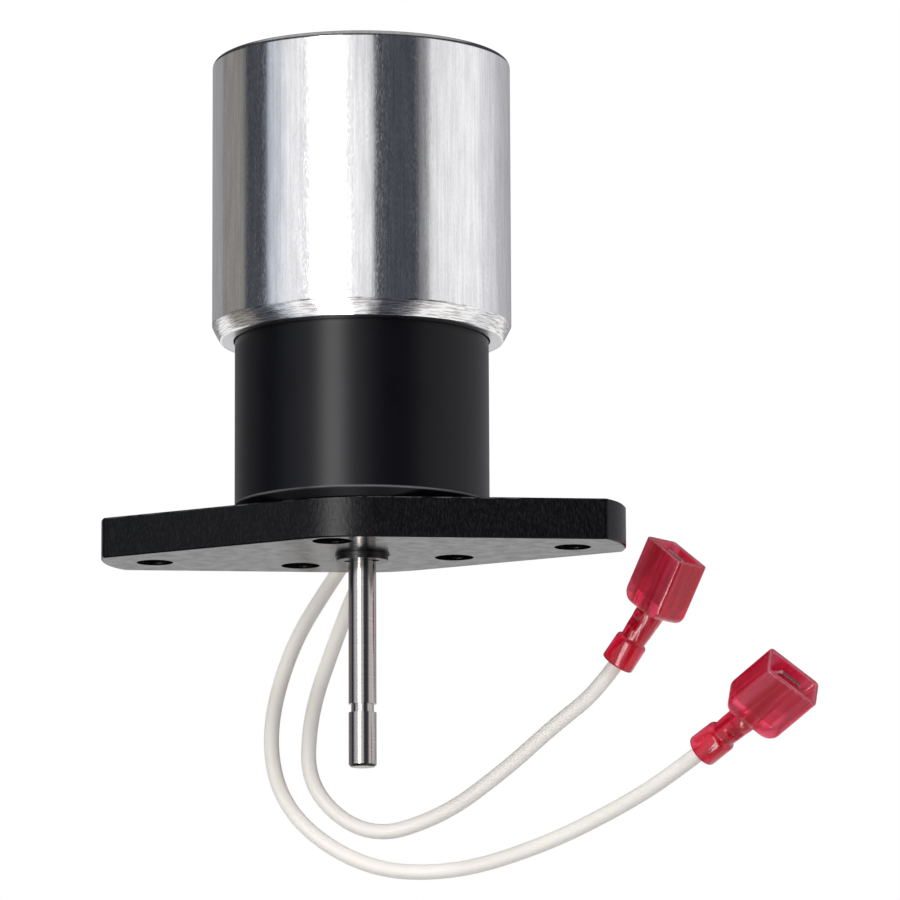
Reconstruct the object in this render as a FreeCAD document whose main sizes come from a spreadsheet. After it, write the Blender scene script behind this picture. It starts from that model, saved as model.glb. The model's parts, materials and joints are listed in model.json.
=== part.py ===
# Injection pump actuator: a push-type solenoid in a crimped steel can, standing on a black
# spring housing and a two-hole mounting plate. The Ø5 output shaft comes out of the plate and
# two insulated leads with nylon quick-disconnects come out of the back of the housing.
# Frame: origin on the shaft axis at the plate's underside, +Z up towards the can,
# +X along the plate's two mounting holes. All lengths are millimetres.

import FreeCAD, Part
import math
import os
import Sketcher

from FreeCAD import Placement, Rotation, Vector

SIZES = {
    # Solenoid can: a drawn steel cup, its open end rolled in under the housing's flange
    "can_radius": 27.0,
    "can_wall": 2.0,
    "can_top": 90.2,
    "can_top_rounding": 1.0,
    "can_lip_bottom": 38.8,
    "can_lip_inset": 1.6,
    "can_lip_drop": 2.8,
    "can_lip_shoulder_inset": 0.5,
    "can_lip_land": 0.3,
    "can_lip_thickness": 1.5,
    "can_fit": 0.1,
    # Spring housing: turned and black anodised
    "housing_step": 4.1,
    "housing_wall": 3.5,
    "housing_floor": 7.0,
    "housing_foot_chamfer": 1.5,
    "housing_top": 44.5,
    # Mounting plate
    "plate_thickness": 7.3,
    "plate_half_length": 47.8,
    "plate_apex_inset": 1.6,
    "plate_end_half_width": 7.6,
    "plate_end_bow": 1.7,
    "plate_corner_rounding": 1.0,
    "plate_edge_chamfer": 0.25,
    "mounting_hole_radius": 3.3,
    "mounting_hole_spacing": 76.8,
    "boss_radius": 8.0,
    "boss_height": 3.0,
    "boss_fit": 0.05,
    # Cap screws that hold the plate to the housing from below
    "screw_inset": 6.0,
    "screw_first_angle": 24.3,
    "screw_counterbore_radius": 3.5,
    "screw_counterbore_depth": 4.3,
    "screw_hole_radius": 1.7,
    "screw_radius": 1.5,
    "screw_fit": 0.03,
    "screw_head_radius": 2.75,
    "screw_head_height": 3.0,
    "screw_socket_radius": 1.44,
    "screw_socket_depth": 1.5,
    "screw_length": 8.0,
    "screw_thread_room": 0.6,
    # Output shaft and its running fits
    "shaft_radius": 2.5,
    "shaft_tip": -38.25,
    "shaft_tip_chamfer": 0.4,
    "shaft_top_below_plunger": 0.8,
    "running_fit": 0.05,
    "link_groove_radius": 2.04,
    "link_groove_top": -27.0,
    "link_groove_width": 1.5,
    "stroke": 12.0,
    "stop_gap": 0.3,
    # Stop washer, retaining rings
    "stop_washer_radius": 4.85,
    "stop_washer_thickness": 0.4,
    "rest_gap": 0.05,
    "ring_radius": 4.65,
    "ring_thickness": 0.7,
    "ring_groove_radius": 2.0,
    "ring_play": 0.02,
    "ring_opening": 3.2,
    "ring_relief_radius": 0.95,
    "ring_relief_offset": 2.3,
    "ring_relief_setback": 0.5,
    # Bushings, wiper and seals
    "bushing_radius": 4.0,
    "bushing_length": 8.0,
    "wiper_recess_radius": 4.4,
    "wiper_recess_depth": 2.0,
    "wiper_lip": 0.65,
    "wiper_lead_in": 0.65,
    "seal_play": 0.05,
    "base_seal_radius": 10.5,
    "base_seal_section": 0.65,
    "base_groove_half_width": 0.9,
    "base_groove_depth": 1.4,
    "can_groove_depth": 1.7,
    "can_groove_width": 2.2,
    # Return spring and its seat on the shaft
    "spring_radius": 7.5,
    "spring_wire_radius": 0.6,
    "spring_open_turns": 3.5,
    "spring_end_turns": 1.0,
    "spring_end_gap": 0.05,
    "seat_rest_gap": 5.0,
    "seat_radius": 8.8,
    "seat_thickness": 1.5,
    "seat_hub_radius": 4.6,
    "seat_hub_length": 3.5,
    # Pole piece, plunger, guide tube
    "pole_flange_thickness": 5.0,
    "pole_spigot_height": 2.0,
    "pole_radius": 9.2,
    "pole_length": 10.5,
    "cone_land": 0.9,
    "cone_tip_radius": 4.6,
    "cone_depth": 3.8,
    "shim_thickness": 0.5,
    "shaft_passage": 2.9,
    "guide_tube_fit": 0.05,
    "guide_tube_wall": 0.7,
    "plunger_clearance": 0.08,
    "plunger_top_gap": 0.5,
    "nut_pocket_radius": 5.2,
    "nut_pocket_depth": 3.3,
    "nut_height": 2.7,
    "nut_across_corners_radius": 4.62,
    # Coil
    "bobbin_fit": 0.1,
    "bobbin_tube_wall": 1.0,
    "bobbin_side_gap": 0.6,
    "bobbin_flange_thickness": 1.4,
    "winding_fit": 0.05,
    "winding_inset": 2.6,
    "coil_tape_thickness": 0.4,
    "flux_washer_thickness": 3.5,
    "flux_roof_gap": 0.65,
    "bumper_radius": 8.0,
    "bumper_thickness": 0.5,
    # Lead exit at the back of the housing
    "lead_radius": 1.4,
    "lead_spacing": 3.8,
    "lead_exit_height": 27.0,
    "lead_rise_distance": 13.0,
    "lead_bend_radius": 4.0,
    "lead_hole_radius": 1.7,
    "grommet_radius": 4.35,
    "grommet_hole_radius": 4.4,
    "grommet_flange_radius": 5.6,
    "grommet_flange_thickness": 1.4,
    "grommet_lip_radius": 5.0,
    "grommet_lip_thickness": 1.4,
    "grommet_lip_gap": 0.8,
    "grommet_rounding": 0.4,
    "lead_fit": 0.03,
    "spot_face_radius": 6.2,
    "spot_face_depth": 0.9,
    # Quick-disconnect terminals: nylon box, crimped barrel, wire funnel, metal blade
    "terminal_box_width": 10.9,
    "terminal_box_thickness": 6.0,
    "terminal_box_length": 12.0,
    "terminal_box_wall": 0.8,
    "terminal_box_rounding": 1.2,
    "terminal_shoulder": 2.2,
    "terminal_shoulder_thickness": 5.2,
    "terminal_floor": 2.8,
    "barrel_root_radius": 2.5,
    "barrel_waist_radius": 2.2,
    "barrel_length": 6.4,
    "funnel_step": 1.0,
    "funnel_radius": 2.75,
    "funnel_mouth_radius": 3.03,
    "funnel_end": 11.9,
    "funnel_bore_radius": 2.45,
    "ferrule_radius": 1.8,
    "ferrule_bore_radius": 1.2,
    "ferrule_end": 7.3,
    "ferrule_fit": 0.04,
    "dent_radius": 2.4,
    "dent_depth": 0.3,
    "dent_place": 3.3,
    "blade_width": 6.35,
    "blade_thickness": 0.8,
    "blade_recess": 0.6,
    "blade_tip_chamfer": 1.0,
    "blade_neck_width": 2.6,
    "blade_shoulder_height": 3.4,
}

# Routes of the two free leads from the grommet to the terminals' ferrules, chosen by hand.
LEAD_ROUTES = {
    1: [
        (-1.9, 23.4, 27.0), (-1.9, 33.2, 27.0), (-4.0, 42.0, 22.2), (-8.6, 46.0, 13.2),
        (-15.4, 44.0, 3.0), (-22.8, 38.9, -11.0), (-26.2, 34.6, -28.6), (-21.4, 31.5, -43.2),
        (-6.5, 30.3, -53.5), (10.4, 28.5, -54.8), (27.9, 25.3, -50.4), (43.2, 19.6, -44.4),
        (53.6, 12.9, -39.7), (63.2, 8.1, -33.75),
    ],
    2: [
        (1.9, 23.4, 27.0), (1.9, 33.2, 27.0), (0.4, 42.0, 22.4), (-3.6, 46.2, 13.8),
        (-10.4, 44.4, 3.0), (-14.7, 40.3, -10.6), (-18.4, 36.3, -24.4), (-17.9, 33.4, -38.3),
        (-6.4, 32.9, -47.6), (7.5, 32.5, -43.9), (19.6, 31.1, -35.8), (29.3, 29.2, -28.0),
        (37.8, 28.8, -21.8), (43.9, 26.6, -13.8),
    ],
}

# How each terminal lies: the way its box points and the way the box's wide side runs.
TERMINAL_BOX_AXES = {1: (0.736, -0.472, 0.485), 2: (0.447, -0.299, 0.843)}
TERMINAL_WIDE_AXES = {1: (0.677, 0.515, -0.526), 2: (0.607, -0.590, -0.532)}

SCREW_COUNT = 3
ROUTE_ARC_SHARE = 0.45
SAME_PLACE = 0.001
LEAST_CUT = 0.01
VOLUME_ERROR_SHARE = 0.01


class Dim:
    """A size that carries its number and the sheet formula that gives it."""

    def __init__(self, value, formula):
        self.value = value
        self.formula = formula

    def __add__(self, other):
        other = as_dim(other)
        return Dim(self.value + other.value, "(%s + %s)" % (self.formula, other.formula))

    def __radd__(self, other):
        return as_dim(other) + self

    def __sub__(self, other):
        other = as_dim(other)
        return Dim(self.value - other.value, "(%s - %s)" % (self.formula, other.formula))

    def __rsub__(self, other):
        return as_dim(other) - self

    def __mul__(self, other):
        other = as_dim(other)
        return Dim(self.value * other.value, "(%s * %s)" % (self.formula, other.formula))

    def __rmul__(self, other):
        return as_dim(other) * self

    def __truediv__(self, other):
        other = as_dim(other)
        return Dim(self.value / other.value, "(%s / %s)" % (self.formula, other.formula))

    def __neg__(self):
        return as_dim(0) - self


def as_dim(item):
    """A plain number as a Dim; a Dim is returned as it is."""
    if isinstance(item, Dim):
        return item
    return Dim(float(item), "%.6f" % item)


class Sizes:
    """Every driving size by its name, each a Dim tied to its cell in the sheet."""


doc = FreeCAD.newDocument("InjectionPumpActuator")
sheet = doc.addObject("Spreadsheet::Sheet", "Sizes")
s = Sizes()
for row, (alias, number) in enumerate(SIZES.items(), start=1):
    sheet.set("A%d" % row, alias)
    sheet.set("B%d" % row, str(number))
    sheet.setAlias("B%d" % row, alias)
    setattr(s, alias, Dim(number, "Sizes." + alias))
doc.recompute()

NODES = []


def cosine(angle):
    """Cosine of an angle held in degrees."""
    return Dim(math.cos(math.radians(angle.value)), "cos(%s)" % angle.formula)


def sine(angle):
    """Sine of an angle held in degrees."""
    return Dim(math.sin(math.radians(angle.value)), "sin(%s)" % angle.formula)


def bind(item, prop, dim):
    """Tie one property of an object to the sheet."""
    item.setExpression(prop, as_dim(dim).formula)


def keep(item, node):
    """Name an object after its node and list it for export."""
    item.Label = node
    NODES.append(item)
    return item


def new_body(name):
    return doc.addObject("PartDesign::Body", name)


def base_plane(body, role):
    """One of the body's own origin planes."""
    for feature in body.Origin.OriginFeatures:
        if feature.Role == role:
            return feature
    raise ValueError("no plane " + role)


def new_sketch(body, name, role="XY_Plane", offset=None):
    """An empty sketch on one of the body's planes, moved along the plane's normal."""
    sketch = body.newObject("Sketcher::SketchObject", name)
    sketch.AttachmentSupport = [(base_plane(body, role), "")]
    sketch.MapMode = "FlatFace"
    if offset is not None:
        bind(sketch, ".AttachmentOffset.Base.z", offset)
    return sketch


def hold(sketch, kind, *args):
    """A dimension of a sketch, tied to the sheet."""
    dim = as_dim(args[-1])
    index = sketch.addConstraint(Sketcher.Constraint(kind, *args[:-1], dim.value))
    sketch.setExpression("Constraints[%d]" % index, dim.formula)


def hold_point(sketch, curve, end, across, up):
    """Hold one end of a curve at its two sizes from the sketch's origin."""
    for kind, dim, axis in (("DistanceX", as_dim(across), -2), ("DistanceY", as_dim(up), -1)):
        if dim.formula == as_dim(0).formula:
            sketch.addConstraint(Sketcher.Constraint("PointOnObject", curve, end, axis))
        else:
            hold(sketch, kind, -1, 1, curve, end, dim)


def draw_outline(sketch, points):
    """A closed outline of straight sides with every corner held."""
    corners = [Vector(as_dim(x).value, as_dim(y).value, 0) for x, y in points]
    first = sketch.GeometryCount
    for index, corner in enumerate(corners):
        following = corners[(index + 1) % len(corners)]
        sketch.addGeometry(Part.LineSegment(corner, following), False)
    for index in range(len(corners)):
        after = first + (index + 1) % len(corners)
        sketch.addConstraint(Sketcher.Constraint("Coincident", first + index, 2, after, 1))
    for index, (x, y) in enumerate(points):
        hold_point(sketch, first + index, 1, x, y)


def draw_circle(sketch, x, y, radius):
    """A circle with its centre and radius held."""
    centre = Vector(as_dim(x).value, as_dim(y).value, 0)
    circle = Part.Circle(centre, Vector(0, 0, 1), radius.value)
    index = sketch.addGeometry(circle, False)
    hold_point(sketch, index, 3, x, y)
    hold(sketch, "Radius", index, radius)


def revolve(body, name, section, role="XZ_Plane"):
    """Turn a half-section, given as radius and height, about the upright axis."""
    sketch = new_sketch(body, name + "_section", role)
    draw_outline(sketch, section)
    turn = body.newObject("PartDesign::Revolution", name + "_turned")
    turn.Profile = sketch
    turn.ReferenceAxis = (sketch, ["V_Axis"])
    turn.Angle = 360
    doc.recompute()
    return turn


def turned(node, section, role="XZ_Plane"):
    """A piece that is only turned."""
    body = new_body(node)
    revolve(body, node, section, role)
    return keep(body, node)


def ring_section(inner, outer, bottom, top):
    """Half-section of a plain ring."""
    return [(inner, bottom), (outer, bottom), (outer, top), (inner, top)]


def cut_holes(body, name, circles, depth=None, role="XY_Plane", offset=None, reverse=False):
    """Round holes from one sketch, cut to a depth or right through one way."""
    sketch = new_sketch(body, name + "_sketch", role, offset)
    for x, y, radius in circles:
        draw_circle(sketch, x, y, radius)
    pocket = body.newObject("PartDesign::Pocket", name)
    pocket.Profile = sketch
    if depth is None:
        pocket.Type = "ThroughAll"
    else:
        bind(pocket, "Length", depth)
    pocket.Reversed = reverse
    before = body.Shape.Volume
    doc.recompute()
    if pocket.Shape.Volume > before - LEAST_CUT:
        raise ValueError(name + " cuts nothing")
    return pocket


def ring_of(body, name, features, sketch):
    """Repeat cuts round the sketch's own axis, once for each screw."""
    pattern = body.newObject("PartDesign::PolarPattern", name)
    pattern.Originals = features
    pattern.Axis = (sketch, ["N_Axis"])
    pattern.Angle = 360
    pattern.Occurrences = SCREW_COUNT
    body.Tip = pattern
    doc.recompute()
    return pattern


def round_edge_names(shape, rings):
    """Names of the full round edges that lie at the given radii and heights."""
    names = []
    for radius, height in rings:
        for index, edge in enumerate(shape.Edges):
            curve = edge.Curve
            if not isinstance(curve, Part.Circle):
                continue
            if abs(curve.Radius - radius.value) > SAME_PLACE:
                continue
            if abs(curve.Center.z - height.value) > SAME_PLACE:
                continue
            names.append("Edge%d" % (index + 1))
    return names


def dress(body, name, kind, names, amount):
    """A fillet or a chamfer on named edges of the body's last feature."""
    base = body.Tip
    feature = body.newObject("PartDesign::" + kind, name)
    feature.Base = (base, names)
    bind(feature, "Radius" if kind == "Fillet" else "Size", amount)
    doc.recompute()
    return feature


def part_cylinder(name, radius, height, base=(0, 0, 0)):
    """A plain upright cylinder."""
    cylinder = doc.addObject("Part::Cylinder", name)
    bind(cylinder, "Radius", radius)
    bind(cylinder, "Height", height)
    for axis, amount in zip("xyz", base):
        bind(cylinder, ".Placement.Base." + axis, amount)
    return cylinder


def part_box(name, length, width, height, corner):
    """A plain box from one corner."""
    box = doc.addObject("Part::Box", name)
    bind(box, "Length", length)
    bind(box, "Width", width)
    bind(box, "Height", height)
    for axis, amount in zip("xyz", corner):
        bind(box, ".Placement.Base." + axis, amount)
    return box


def part_cut(name, base, tools):
    """A boolean cut with one tool or several."""
    tool = tools[0]
    if len(tools) > 1:
        tool = doc.addObject("Part::MultiFuse", name + "_tools")
        tool.Shapes = tools
    cut = doc.addObject("Part::Cut", name)
    cut.Base = base
    cut.Tool = tool
    return cut


# How far the middle of a quarter round lies from each of its two sides, in radii
ROUND_INSET = Dim(1 - math.sqrt(0.5), "(1 - sqrt(0.5))")

# Heights and radii that several pieces share
can_bore = s.can_radius - s.can_wall
can_roof = s.can_top - s.can_wall
housing_radius = s.can_radius - s.housing_step
housing_bore = housing_radius - s.housing_wall
apex_radius = housing_radius - s.plate_apex_inset
screw_circle_radius = housing_radius - s.screw_inset
lip_inner_radius = housing_radius + s.can_fit + s.can_fit
lip_top = s.can_lip_bottom + s.can_lip_thickness
housing_floor_top = s.plate_thickness + s.housing_floor
boss_top = s.plate_thickness + s.boss_height
flange_radius = can_bore - s.can_fit
bushing_bore = s.shaft_radius + s.running_fit
pole_flange_top = s.housing_top + s.pole_flange_thickness
pole_bottom = s.housing_top - s.pole_spigot_height
pole_top = pole_flange_top + s.pole_length
cone_rim_radius = s.pole_radius - s.cone_land
cone_floor = pole_top - s.cone_depth
guide_bore = s.pole_radius + s.guide_tube_fit
guide_outer = guide_bore + s.guide_tube_wall
flux_top = can_roof - s.flux_roof_gap
flux_bottom = flux_top - s.flux_washer_thickness
bobbin_top = flux_bottom - s.winding_fit
bumper_bottom = can_roof - s.bumper_thickness
plunger_radius = guide_bore - s.plunger_clearance
plunger_rim = pole_top + s.stroke + s.stop_gap
plunger_tip = plunger_rim - s.cone_depth
plunger_top = bumper_bottom - s.plunger_top_gap
shaft_top = plunger_top - s.shaft_top_below_plunger
seat_top = pole_bottom - s.seat_rest_gap
seat_height = seat_top - s.seat_thickness
lead_seat = housing_radius - s.spot_face_depth
lead_exit = lead_seat + s.grommet_flange_thickness
lead_half_spacing = s.lead_spacing / 2


def make_can():
    """Drawn cup with a flat roof, its open end rolled in under the housing's flange."""
    node = "solenoid_can"
    body = new_body(node)
    lip_outer = s.can_radius - s.can_lip_inset
    shoulder_radius = s.can_radius - s.can_lip_shoulder_inset
    shoulder_height = s.can_lip_bottom + s.can_lip_drop / 2
    crease = s.can_lip_bottom + s.can_lip_drop
    slope_inner = lip_inner_radius + s.can_lip_land
    slope_top = lip_top + (can_bore - slope_inner)
    revolve(body, node, [
        (0, can_roof), (can_bore, can_roof), (can_bore, slope_top), (slope_inner, lip_top),
        (lip_inner_radius, lip_top), (lip_inner_radius, s.can_lip_bottom),
        (lip_outer, s.can_lip_bottom), (shoulder_radius, shoulder_height),
        (s.can_radius, crease), (s.can_radius, s.can_top), (0, s.can_top),
    ])
    rim = round_edge_names(body.Shape, [(s.can_radius, s.can_top)])
    dress(body, "can_top_edge", "Fillet", rim, s.can_top_rounding)
    keep(body, node)
    return slope_inner, slope_top


def make_housing(slope_inner, slope_top):
    """Turned body: flange held by the can's lip, floor for the plate and spring, rear lead hole."""
    node = "spring_housing"
    body = new_body(node)
    foot_radius = housing_radius - s.housing_foot_chamfer
    foot_top = s.plate_thickness + s.housing_foot_chamfer
    seat_bottom = lip_top + s.can_fit
    seat_inner = slope_inner - s.can_fit
    seat_rise = flange_radius - seat_inner
    pilot = s.boss_radius + s.boss_fit
    pilot_top = boss_top + s.boss_fit
    floor_hole = s.bushing_radius + s.boss_fit
    revolve(body, node, [
        (pilot, s.plate_thickness), (foot_radius, s.plate_thickness),
        (housing_radius, foot_top), (housing_radius, seat_bottom),
        (seat_inner, seat_bottom), (flange_radius, seat_bottom + seat_rise),
        (flange_radius, s.housing_top), (housing_bore, s.housing_top),
        (housing_bore, housing_floor_top), (floor_hole, housing_floor_top),
        (floor_hole, pilot_top), (pilot, pilot_top),
    ])
    cut_holes(body, "lead_spot_face", [(0, s.lead_exit_height, s.spot_face_radius)],
              role="XZ_Plane", offset=-lead_seat)
    cut_holes(body, "lead_wall_hole", [(0, s.lead_exit_height, s.grommet_hole_radius)],
              role="XZ_Plane")
    across = screw_circle_radius * cosine(s.screw_first_angle)
    up = screw_circle_radius * sine(s.screw_first_angle)
    depth = s.screw_length - (s.plate_thickness - s.screw_counterbore_depth) + s.screw_thread_room
    tapped = cut_holes(body, "tapped_hole", [(across, up, s.screw_radius + s.screw_fit)],
                       depth=depth, offset=s.plate_thickness, reverse=True)
    ring_of(body, "tapped_holes", [tapped], tapped.Profile[0])
    return keep(body, node)


def make_plate():
    """Two-hole mounting plate: lozenge with bowed ends, pilot boss, counterbored screw holes."""
    node = "mounting_plate"
    body = new_body(node)
    sketch = new_sketch(body, "plate_outline")
    end_x = s.plate_half_length - s.plate_end_bow
    end_y = s.plate_end_half_width
    end_radius = (end_y * end_y + s.plate_end_bow * s.plate_end_bow) / (s.plate_end_bow * 2)
    apex = apex_radius
    end_distance = math.hypot(end_x.value, end_y.value)
    touch = math.atan2(end_y.value, end_x.value) + math.acos(apex.value / end_distance)
    touch_x = apex.value * math.cos(touch)
    touch_y = apex.value * math.sin(touch)
    right_low = Vector(end_x.value, -end_y.value, 0)
    right_high = Vector(end_x.value, end_y.value, 0)
    left_high = Vector(-end_x.value, end_y.value, 0)
    left_low = Vector(-end_x.value, -end_y.value, 0)
    upward = Vector(0, 0, 1)
    quarter = math.pi / 2
    half_end = math.asin(end_y.value / end_radius.value)
    end_centre = s.plate_half_length.value - end_radius.value
    right_end = Part.Circle(Vector(end_centre, 0, 0), upward, end_radius.value)
    left_end = Part.Circle(Vector(-end_centre, 0, 0), upward, end_radius.value)
    circle = Part.Circle(Vector(0, 0, 0), upward, apex.value)
    back_arc = Part.ArcOfCircle(circle, touch, 2 * quarter - touch)
    front_arc = Part.ArcOfCircle(circle, 2 * quarter + touch, 4 * quarter - touch)
    curves = [
        Part.ArcOfCircle(right_end, -half_end, half_end),
        Part.LineSegment(right_high, Vector(touch_x, touch_y, 0)),
        back_arc,
        Part.LineSegment(Vector(-touch_x, touch_y, 0), left_high),
        Part.ArcOfCircle(left_end, 2 * quarter - half_end, 2 * quarter + half_end),
        Part.LineSegment(left_low, Vector(-touch_x, -touch_y, 0)),
        front_arc,
        Part.LineSegment(Vector(touch_x, -touch_y, 0), right_low),
    ]
    for curve in curves:
        sketch.addGeometry(curve, False)
    tie = Sketcher.Constraint
    sketch.addConstraint(tie("Coincident", 0, 2, 1, 1))
    sketch.addConstraint(tie("Tangent", 1, 2, 2, 1))
    sketch.addConstraint(tie("Tangent", 2, 2, 3, 1))
    sketch.addConstraint(tie("Coincident", 3, 2, 4, 1))
    sketch.addConstraint(tie("Coincident", 4, 2, 5, 1))
    sketch.addConstraint(tie("Tangent", 5, 2, 6, 1))
    sketch.addConstraint(tie("Tangent", 6, 2, 7, 1))
    sketch.addConstraint(tie("Coincident", 7, 2, 0, 1))
    sketch.addConstraint(tie("Coincident", 2, 3, -1, 1))
    sketch.addConstraint(tie("Coincident", 6, 3, -1, 1))
    hold(sketch, "Radius", 2, apex)
    hold(sketch, "Radius", 6, apex)
    hold(sketch, "Radius", 0, end_radius)
    hold(sketch, "Radius", 4, end_radius)
    hold_point(sketch, 0, 1, end_x, -end_y)
    hold_point(sketch, 0, 2, end_x, end_y)
    hold_point(sketch, 4, 1, -end_x, end_y)
    hold_point(sketch, 4, 2, -end_x, -end_y)
    pad = body.newObject("PartDesign::Pad", "plate_slab")
    pad.Profile = sketch
    bind(pad, "Length", s.plate_thickness)
    doc.recompute()
    corners = []
    rims = []
    for index, edge in enumerate(pad.Shape.Edges):
        low, high = edge.BoundBox.ZMin, edge.BoundBox.ZMax
        at_end = abs(abs(edge.CenterOfMass.x) - end_x.value) < SAME_PLACE
        if high - low > SAME_PLACE and at_end:
            corners.append("Edge%d" % (index + 1))
    dress(body, "plate_corners", "Fillet", corners, s.plate_corner_rounding)
    for index, edge in enumerate(body.Shape.Edges):
        if edge.BoundBox.ZMax - edge.BoundBox.ZMin < SAME_PLACE:
            rims.append("Edge%d" % (index + 1))
    dress(body, "plate_rims", "Chamfer", rims, s.plate_edge_chamfer)

    boss_sketch = new_sketch(body, "boss_sketch", offset=s.plate_thickness)
    draw_circle(boss_sketch, 0, 0, s.boss_radius)
    boss = body.newObject("PartDesign::Pad", "pilot_boss")
    boss.Profile = boss_sketch
    bind(boss, "Length", s.boss_height)
    doc.recompute()

    seal_groove = new_sketch(body, "seal_groove_sketch", offset=s.plate_thickness)
    draw_circle(seal_groove, 0, 0, s.base_seal_radius - s.base_groove_half_width)
    draw_circle(seal_groove, 0, 0, s.base_seal_radius + s.base_groove_half_width)
    groove = body.newObject("PartDesign::Pocket", "seal_groove")
    groove.Profile = seal_groove
    bind(groove, "Length", s.base_groove_depth)
    doc.recompute()

    half_spacing = s.mounting_hole_spacing / 2
    cut_holes(body, "shaft_bore", [(0, 0, s.bushing_radius)], reverse=True)
    cut_holes(body, "wiper_recess", [(0, 0, s.wiper_recess_radius)],
              depth=s.wiper_recess_depth, reverse=True)
    mouth = round_edge_names(body.Shape, [(s.wiper_recess_radius, as_dim(0))])
    dress(body, "wiper_lead_in", "Chamfer", mouth, s.wiper_lead_in)
    cut_holes(body, "mounting_holes", [(-half_spacing, 0, s.mounting_hole_radius),
                                       (half_spacing, 0, s.mounting_hole_radius)], reverse=True)
    across = screw_circle_radius * cosine(s.screw_first_angle)
    up = screw_circle_radius * sine(s.screw_first_angle)
    bore = cut_holes(body, "counterbore", [(across, up, s.screw_counterbore_radius)],
                     depth=s.screw_counterbore_depth, reverse=True)
    hole = cut_holes(body, "screw_hole", [(across, up, s.screw_hole_radius)], reverse=True)
    ring_of(body, "screw_holes", [bore, hole], bore.Profile[0])
    return keep(body, node)


def make_screws():
    """Three socket cap screws, sunk in the plate's counterbores."""
    screws = []
    for number in range(SCREW_COUNT):
        name = "screw_%d" % (number + 1)
        angle = s.screw_first_angle + 360.0 * number / SCREW_COUNT
        place = (screw_circle_radius * cosine(angle), screw_circle_radius * sine(angle))
        head_bottom = s.screw_counterbore_depth - s.screw_head_height
        head = part_cylinder(name + "_head", s.screw_head_radius, s.screw_head_height,
                             place + (head_bottom,))
        shank = part_cylinder(name + "_shank", s.screw_radius, s.screw_length,
                              place + (s.screw_counterbore_depth,))
        whole = doc.addObject("Part::Fuse", name + "_whole")
        whole.Base = head
        whole.Tool = shank
        socket = doc.addObject("Part::Prism", name + "_socket")
        socket.Polygon = 6
        bind(socket, "Circumradius", s.screw_socket_radius)
        bind(socket, "Height", s.screw_socket_depth)
        for axis, amount in zip("xyz", place + (head_bottom,)):
            bind(socket, ".Placement.Base." + axis, amount)
        screws.append(part_cut(name, whole, [socket]))
    group = doc.addObject("Part::Compound", "housing_screws")
    group.Links = screws
    return keep(group, "housing_screws")


def ring_groove(top):
    """The steps of a retaining-ring groove whose upper wall lies a play above the ring."""
    upper = top + s.ring_play
    lower = top - s.ring_thickness - s.ring_play
    return [(s.shaft_radius, lower), (s.ring_groove_radius, lower),
            (s.ring_groove_radius, upper), (s.shaft_radius, upper)]


def make_shaft():
    """Ground shaft: chamfered tip, link groove, grooves for the stop ring and the seat ring."""
    groove_low = s.link_groove_top - s.link_groove_width
    stop_ring_top = -(s.rest_gap + s.stop_washer_thickness)
    seat_ring_top = seat_top + s.ring_play + s.ring_thickness
    section = [
        (0, s.shaft_tip), (s.shaft_radius - s.shaft_tip_chamfer, s.shaft_tip),
        (s.shaft_radius, s.shaft_tip + s.shaft_tip_chamfer), (s.shaft_radius, groove_low),
        (s.link_groove_radius, groove_low), (s.link_groove_radius, s.link_groove_top),
        (s.shaft_radius, s.link_groove_top),
    ]
    section += ring_groove(stop_ring_top)
    section += ring_groove(seat_ring_top)
    section += [(s.shaft_radius, shaft_top), (0, shaft_top)]
    turned("output_shaft", section)
    make_ring("stop_ring", stop_ring_top)
    make_ring("seat_ring", seat_ring_top)
    washer_top = -s.rest_gap
    turned("stop_washer", ring_section(bushing_bore, s.stop_washer_radius,
                                       washer_top - s.stop_washer_thickness, washer_top))


def make_ring(node, top):
    """Radial retaining ring: open at the back, gripping the groove at three places."""
    bottom = top - s.ring_thickness
    disc = part_cylinder(node + "_disc", s.ring_radius, s.ring_thickness, (0, 0, bottom))
    grip = part_cylinder(node + "_grip", s.ring_groove_radius + s.ring_play, s.ring_thickness,
                         (0, 0, bottom))
    half_opening = s.ring_opening / 2
    opening = part_box(node + "_opening", s.ring_opening, s.ring_radius, s.ring_thickness,
                       (-half_opening, 0, bottom))
    reliefs = []
    for side in (-1, 1):
        relief = part_cylinder("%s_relief_%d" % (node, side + 2), s.ring_relief_radius,
                               s.ring_thickness,
                               (s.ring_relief_offset * side, -s.ring_relief_setback, bottom))
        reliefs.append(relief)
    return keep(part_cut(node, disc, [grip, opening] + reliefs), node)


def make_bearings_and_seals():
    """Plain bushings for the shaft, its wiper, and the two static seals."""
    turned("plate_bushing", ring_section(bushing_bore, s.bushing_radius,
                                         boss_top - s.bushing_length, boss_top))
    turned("upper_bushing", ring_section(bushing_bore, s.bushing_radius, pole_bottom,
                                         pole_bottom + s.bushing_length))
    wiper_outer = s.wiper_recess_radius - s.seal_play
    wiper_top = s.wiper_recess_depth - s.seal_play
    turned("shaft_wiper", [
        (bushing_bore, s.wiper_lead_in), (wiper_outer, s.wiper_lead_in),
        (wiper_outer, wiper_top), (bushing_bore + s.wiper_lip, wiper_top),
        (bushing_bore, s.wiper_lead_in + s.wiper_lip),
    ])
    make_seal("base_seal", s.base_seal_radius, s.base_seal_section,
              s.plate_thickness - s.base_seal_section - s.seal_play)
    groove_floor = flange_radius - s.can_groove_depth
    section = (can_bore - groove_floor) / 2 - s.seal_play / 2
    make_seal("can_seal", (can_bore + groove_floor) / 2, section,
              s.housing_top + s.pole_flange_thickness / 2)


def make_seal(node, radius, section, height):
    """A round-section rubber seal."""
    ring = doc.addObject("Part::Torus", node)
    bind(ring, "Radius1", radius)
    bind(ring, "Radius2", section)
    bind(ring, ".Placement.Base.z", height)
    return keep(ring, node)


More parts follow.
